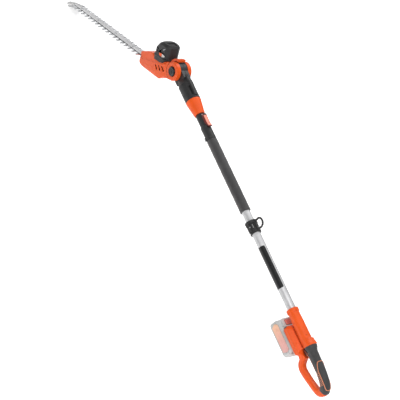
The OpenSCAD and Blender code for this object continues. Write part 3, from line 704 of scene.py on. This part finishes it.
def loop_point(frames, s, angle, lift=0.0, power=2.7):
    """A point on the skin of the loop: s counts frames, angle 0 is outward and 90 degrees the left side."""
    i = min(int(s), len(frames) - 2)
    t = s - i
    (c0, o0, a0, b0), (c1, o1, a1, b1) = frames[i], frames[i + 1]
    centre, outward = c0.lerp(c1, t), o0.lerp(o1, t).normalized()
    a, b = a0 + (a1 - a0) * t + lift, b0 + (b1 - b0) * t + lift
    c, d = superellipse(angle, power)
    return centre + outward * c * a + Vector((0, 1, 0)) * d * b


def loop_tube(name, frames, start, end, lift, count=40):
    rings = []
    steps = max(2, int(end - start))
    for s in [start + (end - start) * k / steps for k in range(steps + 1)]:
        rings.append([loop_point(frames, s, 2 * pi * k / count, lift) for k in range(count)])
    return tube_of(name, rings, POLE)


# The foot narrows smoothly into the guard: x, half width, lowest and highest z
FOOT_TAPER = [(-400, 29, -41.8, -17), (-416, 28, -42.5, -17.5), (-427, 24, -46, -19),
              (-437, 18.5, -53, -24), (-446, 13.5, -60, -36), (-452, 11, -68, -46)]


def make_handle():
    frames = loop_frames()
    last = len(frames) - 1
    for node, left in (("handle_left", True), ("handle_right", False)):
        shell = copied(node + "_shell", node)
        cut_box(shell, -620, -437, -40, 40, -100, 40)
        cut_box(shell, -450, -426, -40, 40, -100, -43)
        loop = half_of(melt(loop_tube("loop", frames, 0, last, 0.0), 0.85, 0), left)
        merge(shell, loop)
        rings = []
        for x, half, z0, z1 in FOOT_TAPER:
            middle, tall = (z0 + z1) / 2, (z1 - z0) / 2
            ring = [superellipse(2 * pi * k / 40, 3.2) for k in range(40)]
            rings.append([(x, c * half, middle + s * tall) for c, s in ring])
        taper = half_of(tube_of("taper", rings), left)
        cut_box(taper, -426, 0, -28, 28, -60, -30.4)
        cut_box(taper, -421.5, 0, -60, 60, -100, -42)
        merge(shell, taper)
        # the barrel closes over the screw beside the switch
        hoop = lathe("hoop", [(-397, 15), (-397, BARREL_R), (-387, BARREL_R), (-387, 15)], POLE, 96)
        cut_box(hoop, -420, -370, -60, 60, -60, 8)
        merge(shell, half_of(hoop, left))
        melt(shell, 0.85, 5, 0.55)
        # deep groove between the barrel and the foot
        valley = ((-342, 17.5, -15.5), (-352, 15.4, -14.6), (-380, 15.2, -14.4), (-405, 15.2, -14.2),
                (-419, 14.2, -14.5))
        valley = smooth_line([Vector((x, y if left else -y, z)) for x, y, z in valley], 5)
        combine(shell, swept("valley", valley, 2.9, POLE, 14))
        # trigger opening, cut after softening so its rim stays crisp
        slot_side = fillet([(-415, 1), (-415, -20, 3), (-423, -29, 3), (-436, -31.5, 3), (-459, -31.5, 3),
                (-461, 1)], 3)
        combine(shell, prism("trigger_room", slot_side, -9.6, 9.6))
        notch = fillet([(-421.5, -8, 3), (-423, -22, 4), (-435, -29.5, 4), (-455, -29.5, 4), (-460, -14, 3),
                (-449, -5.5, 4), (-438, -2, 4), (-426, -2.5, 3)], 3)
        combine(shell, prism("trigger_notch", notch, -30, 30))
        if not left:
            seat = fillet([(-30, 0), (-30, 6.4), (-16.6, 6.4), (-16.6, 0)])
            combine(shell, lathe("button_seat", seat, POLE, 40, centre=LOCK_AT, along="y"))
        # the shell keeps clear of the skin round the shoulder
        under_skin = [(-427.4, 20.8), (-431, 20.7), (-437, 18.8), (-443, 15.8), (-455, 12.9), (-455, 40),
                (-427.4, 40)]
        room = lathe("skin_room", under_skin, centre=SHOULDER)
        cut_box(room, -470, -400, -60, 60, -60, 1)
        combine(shell, room)
        finished(shell, "root", "orange_plastic", node, smooth_to=50)
    make_grip(frames)


def smooth_pairs(points, steps):
    """The same smooth curve as smooth_line, for pairs of numbers."""
    return [(p.x, p.y) for p in smooth_line([Vector((a, b, 0)) for a, b in points], steps)]


def make_grip(frames):
    """The soft skin of the grip, its end cap, the pale piping and the ribs under the fingers."""
    skin = loop_tube("grip_skin", frames, 8, 47, 1.7)
    # the front edge of the skin climbs over the round shoulder of the handle
    collar = lathe("collar", fillet([(-455, 0), (-427, 0), (-427, 21.4, 1), (-431, 21.3, 3),
            (-437, 19.4, 4), (-443, 16.4, 4), (-455, 13.5)], 4), centre=SHOULDER)
    merge(skin, collar)
    melt(skin, 0.6, 0)
    combine(skin, lathe("shoulder", fillet([(-460, 0), (-400, 0), (-400, 20.2), (-426, 20.2, 6),
            (-433, 18.8, 6), (-440, 15.2, 4), (-452, 11), (-460, 11)], 6), POLE, 64, centre=SHOULDER))
    cut_box(skin, SKIN_FRONT, -400, -60, 60, -60, 60)
    slot_side = [(-415, 4), (-415, -35), (-464, -35), (-463, -4), (-452, 0)]
    combine(skin, prism("trigger_room", fillet(slot_side), -10.5, 10.5))
    combine(skin, prism("web_cut", [(-415, -1.5), (-415, -60), (-459, -60), (-457, -12), (-449, -5),
            (-438, -1.5)], -40, 40))
    melt(skin, 0.6, 3, 0.6)
    finished(skin, "root", "soft_grip", "grip_sleeve", smooth_to=60)

    parts = []
    for side_sign in (1, -1):
        def on(s, degrees, lift=1.75):
            return loop_point(frames, s, radians(degrees) * side_sign, lift)
        # piping: over the back, down the side, along it and back over near the end
        line = ((21, 0), (21, 20), (21.4, 38), (22.8, 55), (25.2, 70), (28, 78), (31.5, 74), (35, 66),
                (38.4, 56), (40.6, 46), (42.2, 32), (43, 16), (43.2, 0))
        path = [on(s, degrees) for s, degrees in smooth_pairs(line, 5)]
        parts.append(swept("piping", path, 1.25, POLE, 10))
        # the fine line along the finger side
        parts.append(swept("line", smooth_line([on(s, 126) for s in range(13, 27)], 2), 0.75, POLE, 8))
    finished(joined("grip_piping", parts), "root", "orange_plastic", look="piping")

    ribs = []
    for k in range(9):
        for side_sign in (1, -1):
            path = [loop_point(frames, 27 + 1.35 * k + 0.04 * d, radians(90 - 2.6 * k + d) * side_sign, 1.7)
                    for d in (0, 14, 28, 42, 54)]
            ribs.append(swept("rib", smooth_line(path, 3), 0.6, POLE, 8))
    finished(joined("grip_ribs", ribs), "root", "soft_grip", look="piping")


def make_trigger():
    outline = fillet([(-422, 3, 2), (-430, 3, 2), (-437, -3.4, 2), (-451, -8.3, 3), (-452.6, -14, 4),
            (-447, -20.6, 4), (-438, -24.2, 5),
                      (-429, -24.4, 3), (-423.6, -20, 4), (-424, -13, 3), (-420, -8, 2)], 4)
    trigger = rounded(prism("trigger_lever", outline, -8.9, 8.9), 1.6, 30, 4)
    cut_box(trigger, -440, -400, 5.2, 20, -11, 20)
    cut_box(trigger, -440, -400, -20, -5.2, -11, 20)
    for k in range(4):
        x = -445 + 5 * k
        z = -21.2 - 1.1 * k
        cut_box(trigger, x, x + 1.4, -6.6, 6.6, z - 4, z - 0.5, radius=0.3)
    finished(trigger, "trigger", "dark_plastic", "trigger", smooth_to=40)
    parts = []
    for sign in (1, -1):
        for points in (((-428, -13), (-436, -8.5), (-446, -11)),
                ((-428, -20), (-438, -16.5), (-449, -15.5))):
            path = smooth_line([Vector((x, sign * 8.9, z)) for x, z in points], 5)
            parts.append(swept("accent", path, 0.9, POLE, 8))
    finished(joined("trigger_accents", parts), "trigger", "orange_plastic", look="piping")

    y0, y1 = low("lock_off_button", 1), high("lock_off_button", 1)
    outline = fillet([(y0 + 1.2, 0), (y0 + 0.9, 4.0, 1), (y0, 4.9, 0.5), (y0, 5.4, 0.5), (y0 + 0.8, 6, 0.8),
            (-11.2, 6, 0.3), (-11.2, 3), (y1, 3, 0.4), (y1, 0)], 3)
    finished(lathe("lock_off_knob", outline, POLE, 48, centre=LOCK_AT, along="y"), "lock_off",
            "dark_plastic", "lock_off_button")


# ---- Cutting head ----

FLANGE = [(46, 30.6, 7.8), (58, 31.5, 4.6), (80, 31.6, -1.6), (104, 31.5, -8), (128, 29.2, -15),
          (153, 25.2, -22), (180, 21.2, -29.5), (208, 17.2, -37), (218, 11.5, -39.5), (222, 0, -40.5)]
CREASE = [(200, 18.5, -50), (176, 22, -46), (150, 25.6, -42), (124, 29.6, -36.5), (104, 31.4, -31.5),
          (84, 31.7, -27), (62, 31.7, -23), (47, 30.6, -20.5)]
VENTS = ((53.5, -14.5), (72.5, -19), (91.5, -23))
VENT_LEAN = radians(52)


def inside(point, frames, size):
    """True where the point lies within one of the boxes, each given by its frame."""
    return any(all(abs(c) < half for c, half in zip(back @ point, size)) for back in frames)


def make_housing():
    ear = 32.5
    for node, left in (("head_left", True), ("head_right", False)):
        sign = 1 if left else -1
        shell = copied(node + "_shell", node)
        face = 29.5 * sign
        bore = 17.4 if left else 9.3
        rim = ((-4, bore, 0), (-4, ear - 1, 0), (0.2, ear - 1, 0.4), (1.9, ear - 3.6, 1.6),
               (1.9, bore + 3.4, 1.4), (0.6, bore + 0.2, 0.8), (0.2, bore, 0))
        disc = fillet([(face + out * sign, r, soft) for out, r, soft in rim], 3)
        merge(shell, lathe("disc", disc, HEAD, 96, along="y"))
        flange = smooth_line([Vector((u, y * sign, v)) for u, y, v in FLANGE], 5)
        crease = smooth_line([Vector((u, (y - 0.5) * sign, v)) for u, y, v in CREASE], 5)
        merge(shell, swept("flange", flange[:-1], 1.3, HEAD, 10), swept("crease", crease, 1.2, HEAD, 10))
        melt(shell, 0.75, 3, 0.6)
        # a fine joint line under the flange, round the ear disc and at the nose
        line = [p - Vector((0, 0, 1.9)) for p in flange[:-4]]
        combine(shell, swept("joint_line", line, 0.75, HEAD, 8))
        gap = fillet(rect(face - 2.4 * sign, ear - 0.6, face + 6 * sign, ear + 0.9))
        combine(shell, lathe("disc_gap", gap, HEAD, 96, along="y"))
        pockets = [HEAD @ Matrix.Translation((u, 31.6 * sign, v)) @ Matrix.Rotation(VENT_LEAN, 4, "Y")
                for u, v in VENTS]
        pockets.append(HEAD @ Matrix.Translation((206, 19.5 * sign, -27.5))
                @ Matrix.Rotation(radians(12), 4, "Y") @ Matrix.Scale(0.62, 4, (0, 0, 1)))
        for where in pockets:
            cut_box(shell, -2.9, 2.9, -2.2, 2.2, -10.5, 10.5, where=where, radius=1.1)
        finished(shell, "head", "orange_plastic", node, smooth_to=48)
        # the pocket walls are painted dark red: painted shade for the dark depths of the real vents
        walls = [where.inverted() for where in pockets]
        repaint(shell, "vent_shade", lambda face: inside(face.center, walls, (2.95, 1.95, 10.6)))

    # tilt button: dished, with three grip bars
    y1 = high("tilt_button", 1)
    outline = fillet([(25.3, 10.5), (25.3, 16.6), (y1 - 3.6, 16.6, 1.6), (y1 - 1.2, 14.6, 1.4),
            (y1 - 0.6, 12.8, 1), (y1 - 2.4, 11.4, 0.8), (y1 - 2.6, 0), (29, 0), (29, 10.5)], 4)
    button = lathe("tilt_button_cap", outline, HEAD, 72, along="y")
    for k in (-1, 0, 1):
        half = 8.4 if k == 0 else 6.6
        merge(button, box_of("bar", -half, half, y1 - 3.2, y1 - 1.1, 4.6 * k - 1.1, 4.6 * k + 1.1, HEAD,
                0.7))
    finished(button, "tilt_lock", "dark_plastic", "tilt_button", smooth_to=40, look="button_black")


COVER_HALF, COVER_CORNER, COVER_REAR = 32, 22, 48


def on_cover(u, v, sign, lift=0.0):
    """A point on the side wall of the motor cover, round its rear corner too."""
    back = max(0.0, COVER_REAR + COVER_CORNER - u)
    y = COVER_HALF - COVER_CORNER + sqrt(max(0.0, COVER_CORNER ** 2 - back ** 2)) - max(0.0, v - 40) * 0.045
    return Vector((u - lift * back / COVER_CORNER, sign * (y + lift), v))


def cover_strip(name, stations, sign, inner, outer):
    """A plate that follows the wall of the cover, between two lines of (u, v) points."""
    rings = [[on_cover(*upper, sign, inner), on_cover(*upper, sign, outer), on_cover(*lower, sign, outer),
            on_cover(*lower, sign, inner)]
             for upper, lower in stations]
    return tube_of(name, rings, HEAD)


# Two slots on each side of the motor cover: points along u and v, and the width
COVER_SLOTS = [(((95, 32), (90, 38), (80, 44.5), (70, 50.5), (63, 55.5)), 2.3),
               (((96, 31.5), (86, 35.6), (75, 36.6), (65, 35.4), (57, 32)), 2.1)]
# The inset under the slots: its seat and two plates, each as spans of u, lowest v and highest v
COVER_SPANS = [
    ("seat", -1.0, 4, ((93.5, 29, 30.4), (88, 23.2, 32.2), (82, 21.6, 33.6), (74, 20.8, 34),
                       (66, 21.8, 33.3), (61, 23.8, 31.8), (57.8, 28.2, 30))),
    ("accent_orange", -1.6, -0.3, ((92, 29, 30), (88, 24.5, 31.4), (84, 22.8, 32.3), (80, 22.2, 32.8),
                                   (75, 22, 33))),
    ("accent_pale", -1.6, -0.3, ((73.8, 22, 33), (70, 22.4, 32.9), (66, 23, 32.3), (62, 24.8, 30.9),
                                 (59.4, 28.4, 29.6)))]


def make_motor_cover():
    cover = copied("motor_cover_shell", "motor_cover")
    base = prism("foot_ring", fillet(rect(46.8, -33, 129.2, 33, 22.6), 8), 15, 18.5, HEAD, along="z")
    combine(base, prism("inside", fillet(rect(50, -30, 126, 30, 21), 8), 0, 30, HEAD, along="z"))
    merge(cover, base)
    melt(cover, 0.75, 3, 0.6)
    # flat facets on the four corners
    middle, reach = 88, 40.1
    for vert in cover.data.vertices:
        p = HEAD.inverted() @ vert.co
        over = (abs(p.x - middle) + abs(p.y)) / sqrt(2) - reach
        if over > 0 and p.z > 19:
            p.x -= copysign(over / sqrt(2), p.x - middle)
            p.y -= copysign(over / sqrt(2), p.y)
            vert.co = HEAD @ p
    # sunk panel on the rear of the top
    top = [(55, -14, 4), (84, -17, 5), (84, 17, 5), (55, 14, 4)]
    combine(cover, prism("panel", fillet(top, 5), 67.6, 75, HEAD, along="z"))
    plates = {"seat": [], "accent_orange": [], "accent_pale": []}
    for sign in (1, -1):
        for path, width in COVER_SLOTS:
            line = smooth_line(path, 5)
            stations = []
            for i, p in enumerate(line):
                t = i / (len(line) - 1)
                wide = 0.35 + width * sin(pi * min(1, 0.1 + 0.86 * t))
                ahead = (line[min(i + 1, len(line) - 1)] - line[max(i - 1, 0)]).normalized()
                side = Vector((-ahead.y, ahead.x)) * wide
                stations.append((p + side, p - side))
            plates["seat"].append(cover_strip("slot", stations, sign, -4.2, 4))
        for name, inner, outer, spans in COVER_SPANS:
            stations = [((u, hi), (u, lo)) for u, lo, hi in spans]
            plates[name].append(cover_strip(name, stations, sign, inner, outer))
    combine(cover, melt(merge(*plates["seat"]), 0.4, 0))
    finished(cover, "head", "dark_plastic", "motor_cover", smooth_to=40)
    for name, look in (("accent_orange", "orange_plastic"), ("accent_pale", "accent_pale")):
        plate = joined("motor_cover_" + name, plates[name])
        finished(plate, "head", "orange_plastic" if look == "orange_plastic" else "white_plastic",
                look=look)


def make_neck():
    front, r = low("neck_left"), high("neck_left", 1)
    for node, left in (("neck_left", True), ("neck_right", False)):
        shell = copied(node + "_shell", node)
        collar = lathe("collar", ring_profile(front, front + 5, 20, r + 0.5, 0.5))
        merge(shell, half_of(collar, left))
        melt(shell, 0.7, 3, 0.6)
        # sunk panel beside the spine, and the joint line in front of it
        y0, y1 = sorted(((6.6 if left else -6.6), (14.2 if left else -14.2)))
        panel = prism("panel", fillet([(front + 10, y0, 1.5), (559, y0, 1.5), (552, y1, 3), (front + 14, y1, 3)]
                if left else
                [(front + 14, y0, 3), (552, y0, 3), (559, y1, 1.5), (front + 10, y1, 1.5)], 4), 21.6, 26.5, along="z")
        combine(shell, panel)
        seam = lathe("seam", fillet(rect(567, r - 0.8, 568.2, r + 3)))
        cut_box(seam, 500, 620, -6.3, 6.3, 0, 60)
        combine(shell, seam)
        for k in range(3):
            x = front + 13 + 4.6 * k
            side_bar = box_of("grip_line", x, x + 1.8, 20 if left else -30, 30 if left else -20, -9, 9,
                    radius=0.6)
            combine(side_bar, lathe("core", fillet(rect(x - 2, 0, x + 4, r - 0.7))))
            combine(shell, side_bar)
        finished(shell, "mast", "dark_plastic", node, smooth_to=46)


# ---- Blades ----

TOOTH_START, TOOTH_PITCH, TEETH = 230, 26, 19
BODY_HALF, TIP_HALF = 13, 31
BOLTS = (165, 290, 415, 540, 665)
BLADE_UP = HEAD.to_3x3().normalized() @ Vector((0, 0, 1))


def blade_outline(far_shift, ground):
    """Plan of a blade from its rear; ground pulls the cutting flanks in, for the sloped side."""
    rear, end = 87, TOOTH_START + (TEETH - 1) * TOOTH_PITCH + 16
    g = ground
    # one flank of a tooth: distance from its middle, and from the blade's middle line
    flank = ((7 - 0.2 * g, BODY_HALF - 0.6 * g), (4.9 - g, BODY_HALF + 7), (3.8 - g, TIP_HALF - 2.4),
             (2.4 - 0.6 * g, TIP_HALF - 0.5 - 0.5 * g), (1.2 - 0.3 * g, TIP_HALF - 0.6 * g))
    tooth = [(-reach, half) for reach, half in flank] + list(reversed(flank))

    def edge(sign, shift, start):
        middles = [TOOTH_START + TOOTH_PITCH * k - shift for k in range(start, TEETH)]
        return [(u + reach, sign * half) for u in middles for reach, half in tooth]

    near = edge(1, 0, 0)
    far = edge(-1, far_shift, 1 if far_shift else 0)
    tail = [(end - 3, BODY_HALF - 0.6 * ground), (end, BODY_HALF - 4), (end, 4 - BODY_HALF),
            (end - 3, 0.6 * ground - BODY_HALF)]
    head = [(152, -BODY_HALF), (150, -18), (147, -19.5), (rear + 4, -19.5), (rear, -15.5), (rear, 15.5),
            (rear + 4, 19.5), (147, 19.5), (150, 18), (152, BODY_HALF)]
    return head + near + tail + far[::-1]


def make_blade(name, node, body, far_shift, v0, v1, ground_up):
    steep, flat = blade_outline(far_shift, 1.3), blade_outline(far_shift, 0.0)
    if ground_up:
        rings = [[(x, y, v0) for x, y in flat], [(x, y, v0 + 0.35) for x, y in flat],
                [(x, y, v1) for x, y in steep]]
    else:
        rings = [[(x, y, v0) for x, y in steep], [(x, y, v1 - 0.35) for x, y in flat],
                [(x, y, v1) for x, y in flat]]
    blade = tube_of(name, rings, HEAD)
    window = prism("window", fillet(rect(91.5, -14.5, 136.5, 14.5, 3)), v0 - 2, v1 + 2, HEAD, along="z")
    combine(blade, window)
    for u in BOLTS:
        slot_plan = fillet(rect(u - 12.6, -4.2, u + 12.6, 4.2, 4.1), 5)
        combine(blade, prism("slot", slot_plan, v0 - 2, v1 + 2, HEAD, along="z"))
    finished(blade, body, "steel", node, smooth_to=20)
    repaint(blade, "ground_edge", lambda face: 0.25 < abs(face.normal.dot(BLADE_UP)) < 0.95)


def make_blades():
    make_blade("blade_upper_ground", "upper_blade", "blade_upper", 0, -34.2, -32.2, True)
    make_blade("blade_lower_ground", "lower_blade", "blade_lower", 10, -36.4, -34.4, False)

    # Guide bar: chamfered edges and a pressed rib down its middle
    half, v0, v1 = 12, -32, -29.5
    section = [(half, v0), (half, v1 - 0.9), (half - 0.9, v1), (5.6, v1), (4.6, v1 - 0.5), (-4.6, v1 - 0.5),
            (-5.6, v1), (0.9 - half, v1), (-half, v1 - 0.9), (-half, v0)]
    rings = []
    end = TOOTH_START + (TEETH - 1) * TOOTH_PITCH + 12
    for u, narrow in ((148, 0.8), (149, 0.97), (151, 1.0), (end - 9, 1.0), (end - 4, 0.9), (end - 1, 0.72),
            (end, 0.6)):
        rings.append([(u, y * narrow, v) for y, v in section])
    bar = tube_of("guide_bar_ground", rings, HEAD)
    for u in BOLTS:
        combine(bar, lathe("hole", fillet(rect(v0 - 1, 0, v1 + 1, 2.6)), HEAD, 24, centre=(u, 0),
                along="z"))
    finished(bar, "head", "tube_metal", "guide_bar", smooth_to=20, look="bar_steel")
    # faces that don't face up are painted near black: painted shade on the bar's sides
    repaint(bar, "bar_edge", lambda face: face.normal.dot(BLADE_UP) < 0.5)

    # Bolts: low domed heads with a six-lobed recess, and nylon-ringed nuts below
    parts = []
    for u in BOLTS:
        nut = -39.6 if u < 210 else -39.4 if u > 655 else -36.8
        t = v1 - 0.5
        def lobes(i, angle):
            return 1 + 0.13 * cos(6 * angle) if 5 <= i <= 6 else 1
        head_outline = [(v0 + 0.2, 0), (v0 + 0.2, 2.4), (t, 2.4), (t, 4.7), (t + 0.9, 4.3), (t + 1.6, 2.2),
                (t + 0.7, 2.0), (t + 0.7, 0)]
        parts.append(lathe("head", head_outline, HEAD, 48, lobes=lobes, centre=(u, 0), along="z"))
        stem = [(nut - 3, 0), (nut - 3, 2.0), (nut - 2.5, 2.4), (v0 + 0.1, 2.4), (v0 + 0.1, 0)]
        parts.append(lathe("stem", stem, HEAD, 32, centre=(u, 0), along="z"))
        spacer = [(-36.6, 2.5), (-36.6, 4), (v0 - 0.02, 4), (v0 - 0.02, 2.5)]
        parts.append(lathe("spacer", spacer, HEAD, 32, centre=(u, 0), along="z"))
        hexagon = [(u + 4.6 * cos(radians(30 + 60 * k)), 4.6 * sin(radians(30 + 60 * k))) for k in range(6)]
        parts.append(rounded(prism("nut", hexagon, nut - 2.4, nut, HEAD, along="z"), 0.35, 30, 2))
    finished(joined("blade_bolt_set", parts), "head", "screw_steel", "blade_bolts", smooth_to=35)

    guard = copied("tip_guard_moulding", "tip_guard")
    melt(guard, 0.4, 3, 0.6)
    finished(guard, "head", "tube_metal", "tip_guard", smooth_to=50, look="guard_pale")


# ---- Screws ----

# The topmost screw of the handle sits this much lower, under the barrel
SCREW_SINK = 3.8


def screw_set(node):
    """Screws across the halves, with a six-lobed recess in heads on the right."""
    parts = []
    where = POLE if BODY_OF[node] != "head" else HEAD
    for lo, hi in islands(node):
        centre = where.inverted() @ ((lo + hi) / 2)
        if node == "handle_screws" and centre.z > 12:
            centre.z -= SCREW_SINK
        y0, y1 = lo.y / MM, hi.y / MM
        r = (hi.x - lo.x) / MM / 2
        def lobes(i, angle):
            return 1 + 0.14 * cos(6 * angle) if i in (3, 2) else 1
        outline = [(y1, 0), (y0 + 0.9, 0), (y0 + 0.9, r * 0.42), (y0 + 0.1, r * 0.5), (y0, r * 0.66),
                   (y0 + 0.7, r * 0.97), (y0 + 2, r), (y0 + 2, 1.5), (y1 - 1, 1.5), (y1, 0.9)]
        parts.append(lathe("screw", outline, where, 36, lobes=lobes, centre=(centre.x, centre.z),
                along="y"))
    finished(joined(node + "_torx", parts), BODY_OF[node], "screw_steel", node, smooth_to=35)


def make_screws():
    for node in ("handle_screws", "neck_screws", "head_screws"):
        screw_set(node)


def make_springs():
    """Coil springs, which shorten under their buttons on the real tool; here each is copied from the frame and given
    a mesh of its own. The anchor is the end that stays.
    """
    for node, body, joint, where, anchor, axis, keep in (
            ("tilt_spring", "head", "tilt_button_push", HEAD, (0, 19.55, 0), (0, 1, 0), 0.5),
            ("lock_off_spring", "root", "lock_off_push", POLE, (-410, -6, 3), (0, 1, 0), 0.21),
            ("release_spring", "battery", "release_push", POLE, (-319, 0, -44.9), (0, 0, 1), 0.12)):
        spring = copied(node + "_coil", node)
        finished(spring, body, "screw_steel", node, smooth_to=50)
        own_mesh(spring)


# ---- Battery pack ----

def make_pack():
    for node in ("pack_tray", "pack_cover"):
        shell = copied(node + "_shell", node)
        melt(shell, 0.75, 4, 0.6)
        if node == "pack_tray":
            for k in range(6):
                x = low("pack_tray") + 22 + 14 * k
                cut_box(shell, x, x + 5, -24, 24, -92, -89.2, radius=0.5)
        else:
            for sign in (1, -1):
                for k in range(4):
                    x = high("pack_cover") - 30 - 6 * k
                    y0, y1 = sorted((sign * 37.2, sign * 40))
                    cut_box(shell, x, x + 2.6, y0, y1, -59, -52, radius=0.5)
        finished(shell, "battery", "pack_grey", node, smooth_to=46)

    # label panels that fold over the sloped shoulder, with round corners
    parts = []
    for sign in (1, -1):
        a, b = low("pack_panels") + 0.6, high("pack_panels") - 0.6
        section = [(38.6, -79.5), (38.9, -72), (39.3, -66), (39.4, -63.2), (38.4, -60.2), (36.4, -56.8),
                (34.4, -53.8)]
        corner = (6, 2.6, 0.8, 0, 0, 2.2, 6)
        rings = []
        for inner in (0.0, 1.0):
            ring = [(a + corner[k], sign * (y - inner), z - 0.2 * inner)
                    for k, (y, z) in enumerate(section)]
            ring += [(b - corner[k], sign * (y - inner), z - 0.2 * inner)
                    for k, (y, z) in reversed(list(enumerate(section)))]
            rings.append(ring)
        parts.append(tube_of("panel", rings))
    finished(joined("pack_label_panels", parts), "battery", "pack_label", "pack_panels", smooth_to=35)

    lo, hi = low("release_button"), high("release_button")
    z1 = high("release_button", 2) - pole_z
    button = box_of("release_key", lo + 0.1, hi - 0.1, -13.9, 13.9, z1 - 6, z1, radius=1.3)
    for k in range(4):
        x = lo + 4 + 3.2 * k
        cut_box(button, x, x + 1.2, -10, 10, z1 - 0.6, z1 + 2, radius=0.2)
    finished(button, "release", "pack_label", "release_button", smooth_to=40, look="key_pink")


for make in (make_pole, make_clamp, make_handle, make_trigger, make_pack, make_housing, make_motor_cover,
        make_neck, make_blades, make_screws, make_springs):
    make()


# ---- Camera, light and floor ----

def set_camera():
    scene = bpy.context.scene
    camera = bpy.data.objects.new("camera", bpy.data.cameras.new("camera"))
    scene.collection.objects.link(camera)
    right = Vector((-0.38493, -0.79267, 0.47275))
    up = Vector((0.84114, -0.09047, 0.53320))
    back = right.cross(up)
    turn = Matrix((right, up, back)).transposed().to_4x4()
    camera.matrix_world = Matrix.Translation((-1.1962, 2.2548, 2.4037)) @ turn
    camera.data.sensor_width = 36
    camera.data.lens = 98.66
    camera.data.clip_end = 50
    scene.camera = camera


def set_floor(lo):
    mesh = bpy.data.meshes.new("floor")
    reach = 14
    corners = [(x * reach, y * reach, lo[2] - 0.0005) for x, y in ((-1, -1), (1, -1), (1, 1), (-1, 1))]
    mesh.from_pydata(corners, [], [(0, 1, 2, 3)])
    floor = bpy.data.objects.new("floor", mesh)
    bpy.context.scene.collection.objects.link(floor)
    mat, tree, shader = node_tree("floor_paper")
    tint = ramp(tree, noise(tree, 3, 4), [(0.3, (0.90, 0.90, 0.90)), (0.7, (0.92, 0.92, 0.92))])
    tree.links.new(tint, shader.inputs["Base Color"])
    shader.inputs["Roughness"].default_value = 0.9
    shader.inputs["Emission Color"].default_value = (1, 1, 1, 1)
    shader.inputs["Emission Strength"].default_value = 0.42
    mesh.materials.append(mat)


def set_light(centre):
    scene = bpy.context.scene
    world = bpy.data.worlds.new("studio")
    scene.world = world
    world.use_nodes = True
    tree = world.node_tree
    where = tree.nodes.new("ShaderNodeTexCoord")
    split = tree.nodes.new("ShaderNodeSeparateXYZ")
    tree.links.new(where.outputs["Generated"], split.inputs[0])
    sky = ramp(tree, split.outputs["Z"], [(0.0, 0.16), (0.35, 0.30), (0.75, 1.0)])
    tree.links.new(sky, tree.nodes["Background"].inputs["Color"])
    tree.nodes["Background"].inputs["Strength"].default_value = 0.50
    for name, where, size, power in (
            ("key", (-0.9, 1.2, 3.4), 1.6, 74), ("fill", (-3.0, 1.4, 1.2), 2.2, 22),
            ("rim", (2.4, -2.0, 2.2), 1.6, 52)):
        light = bpy.data.lights.new(name, "AREA")
        light.size = size
        light.energy = power
        lamp = bpy.data.objects.new(name, light)
        lamp.location = Vector(where)
        lamp.rotation_mode = "QUATERNION"
        lamp.rotation_quaternion = (Vector(where) - centre).to_track_quat("Z", "Y")
        scene.collection.objects.link(lamp)
    scene.view_settings.view_transform = "Standard"


lowest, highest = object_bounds()
set_camera()
set_floor(lowest)
set_light((lowest + highest) / 2)
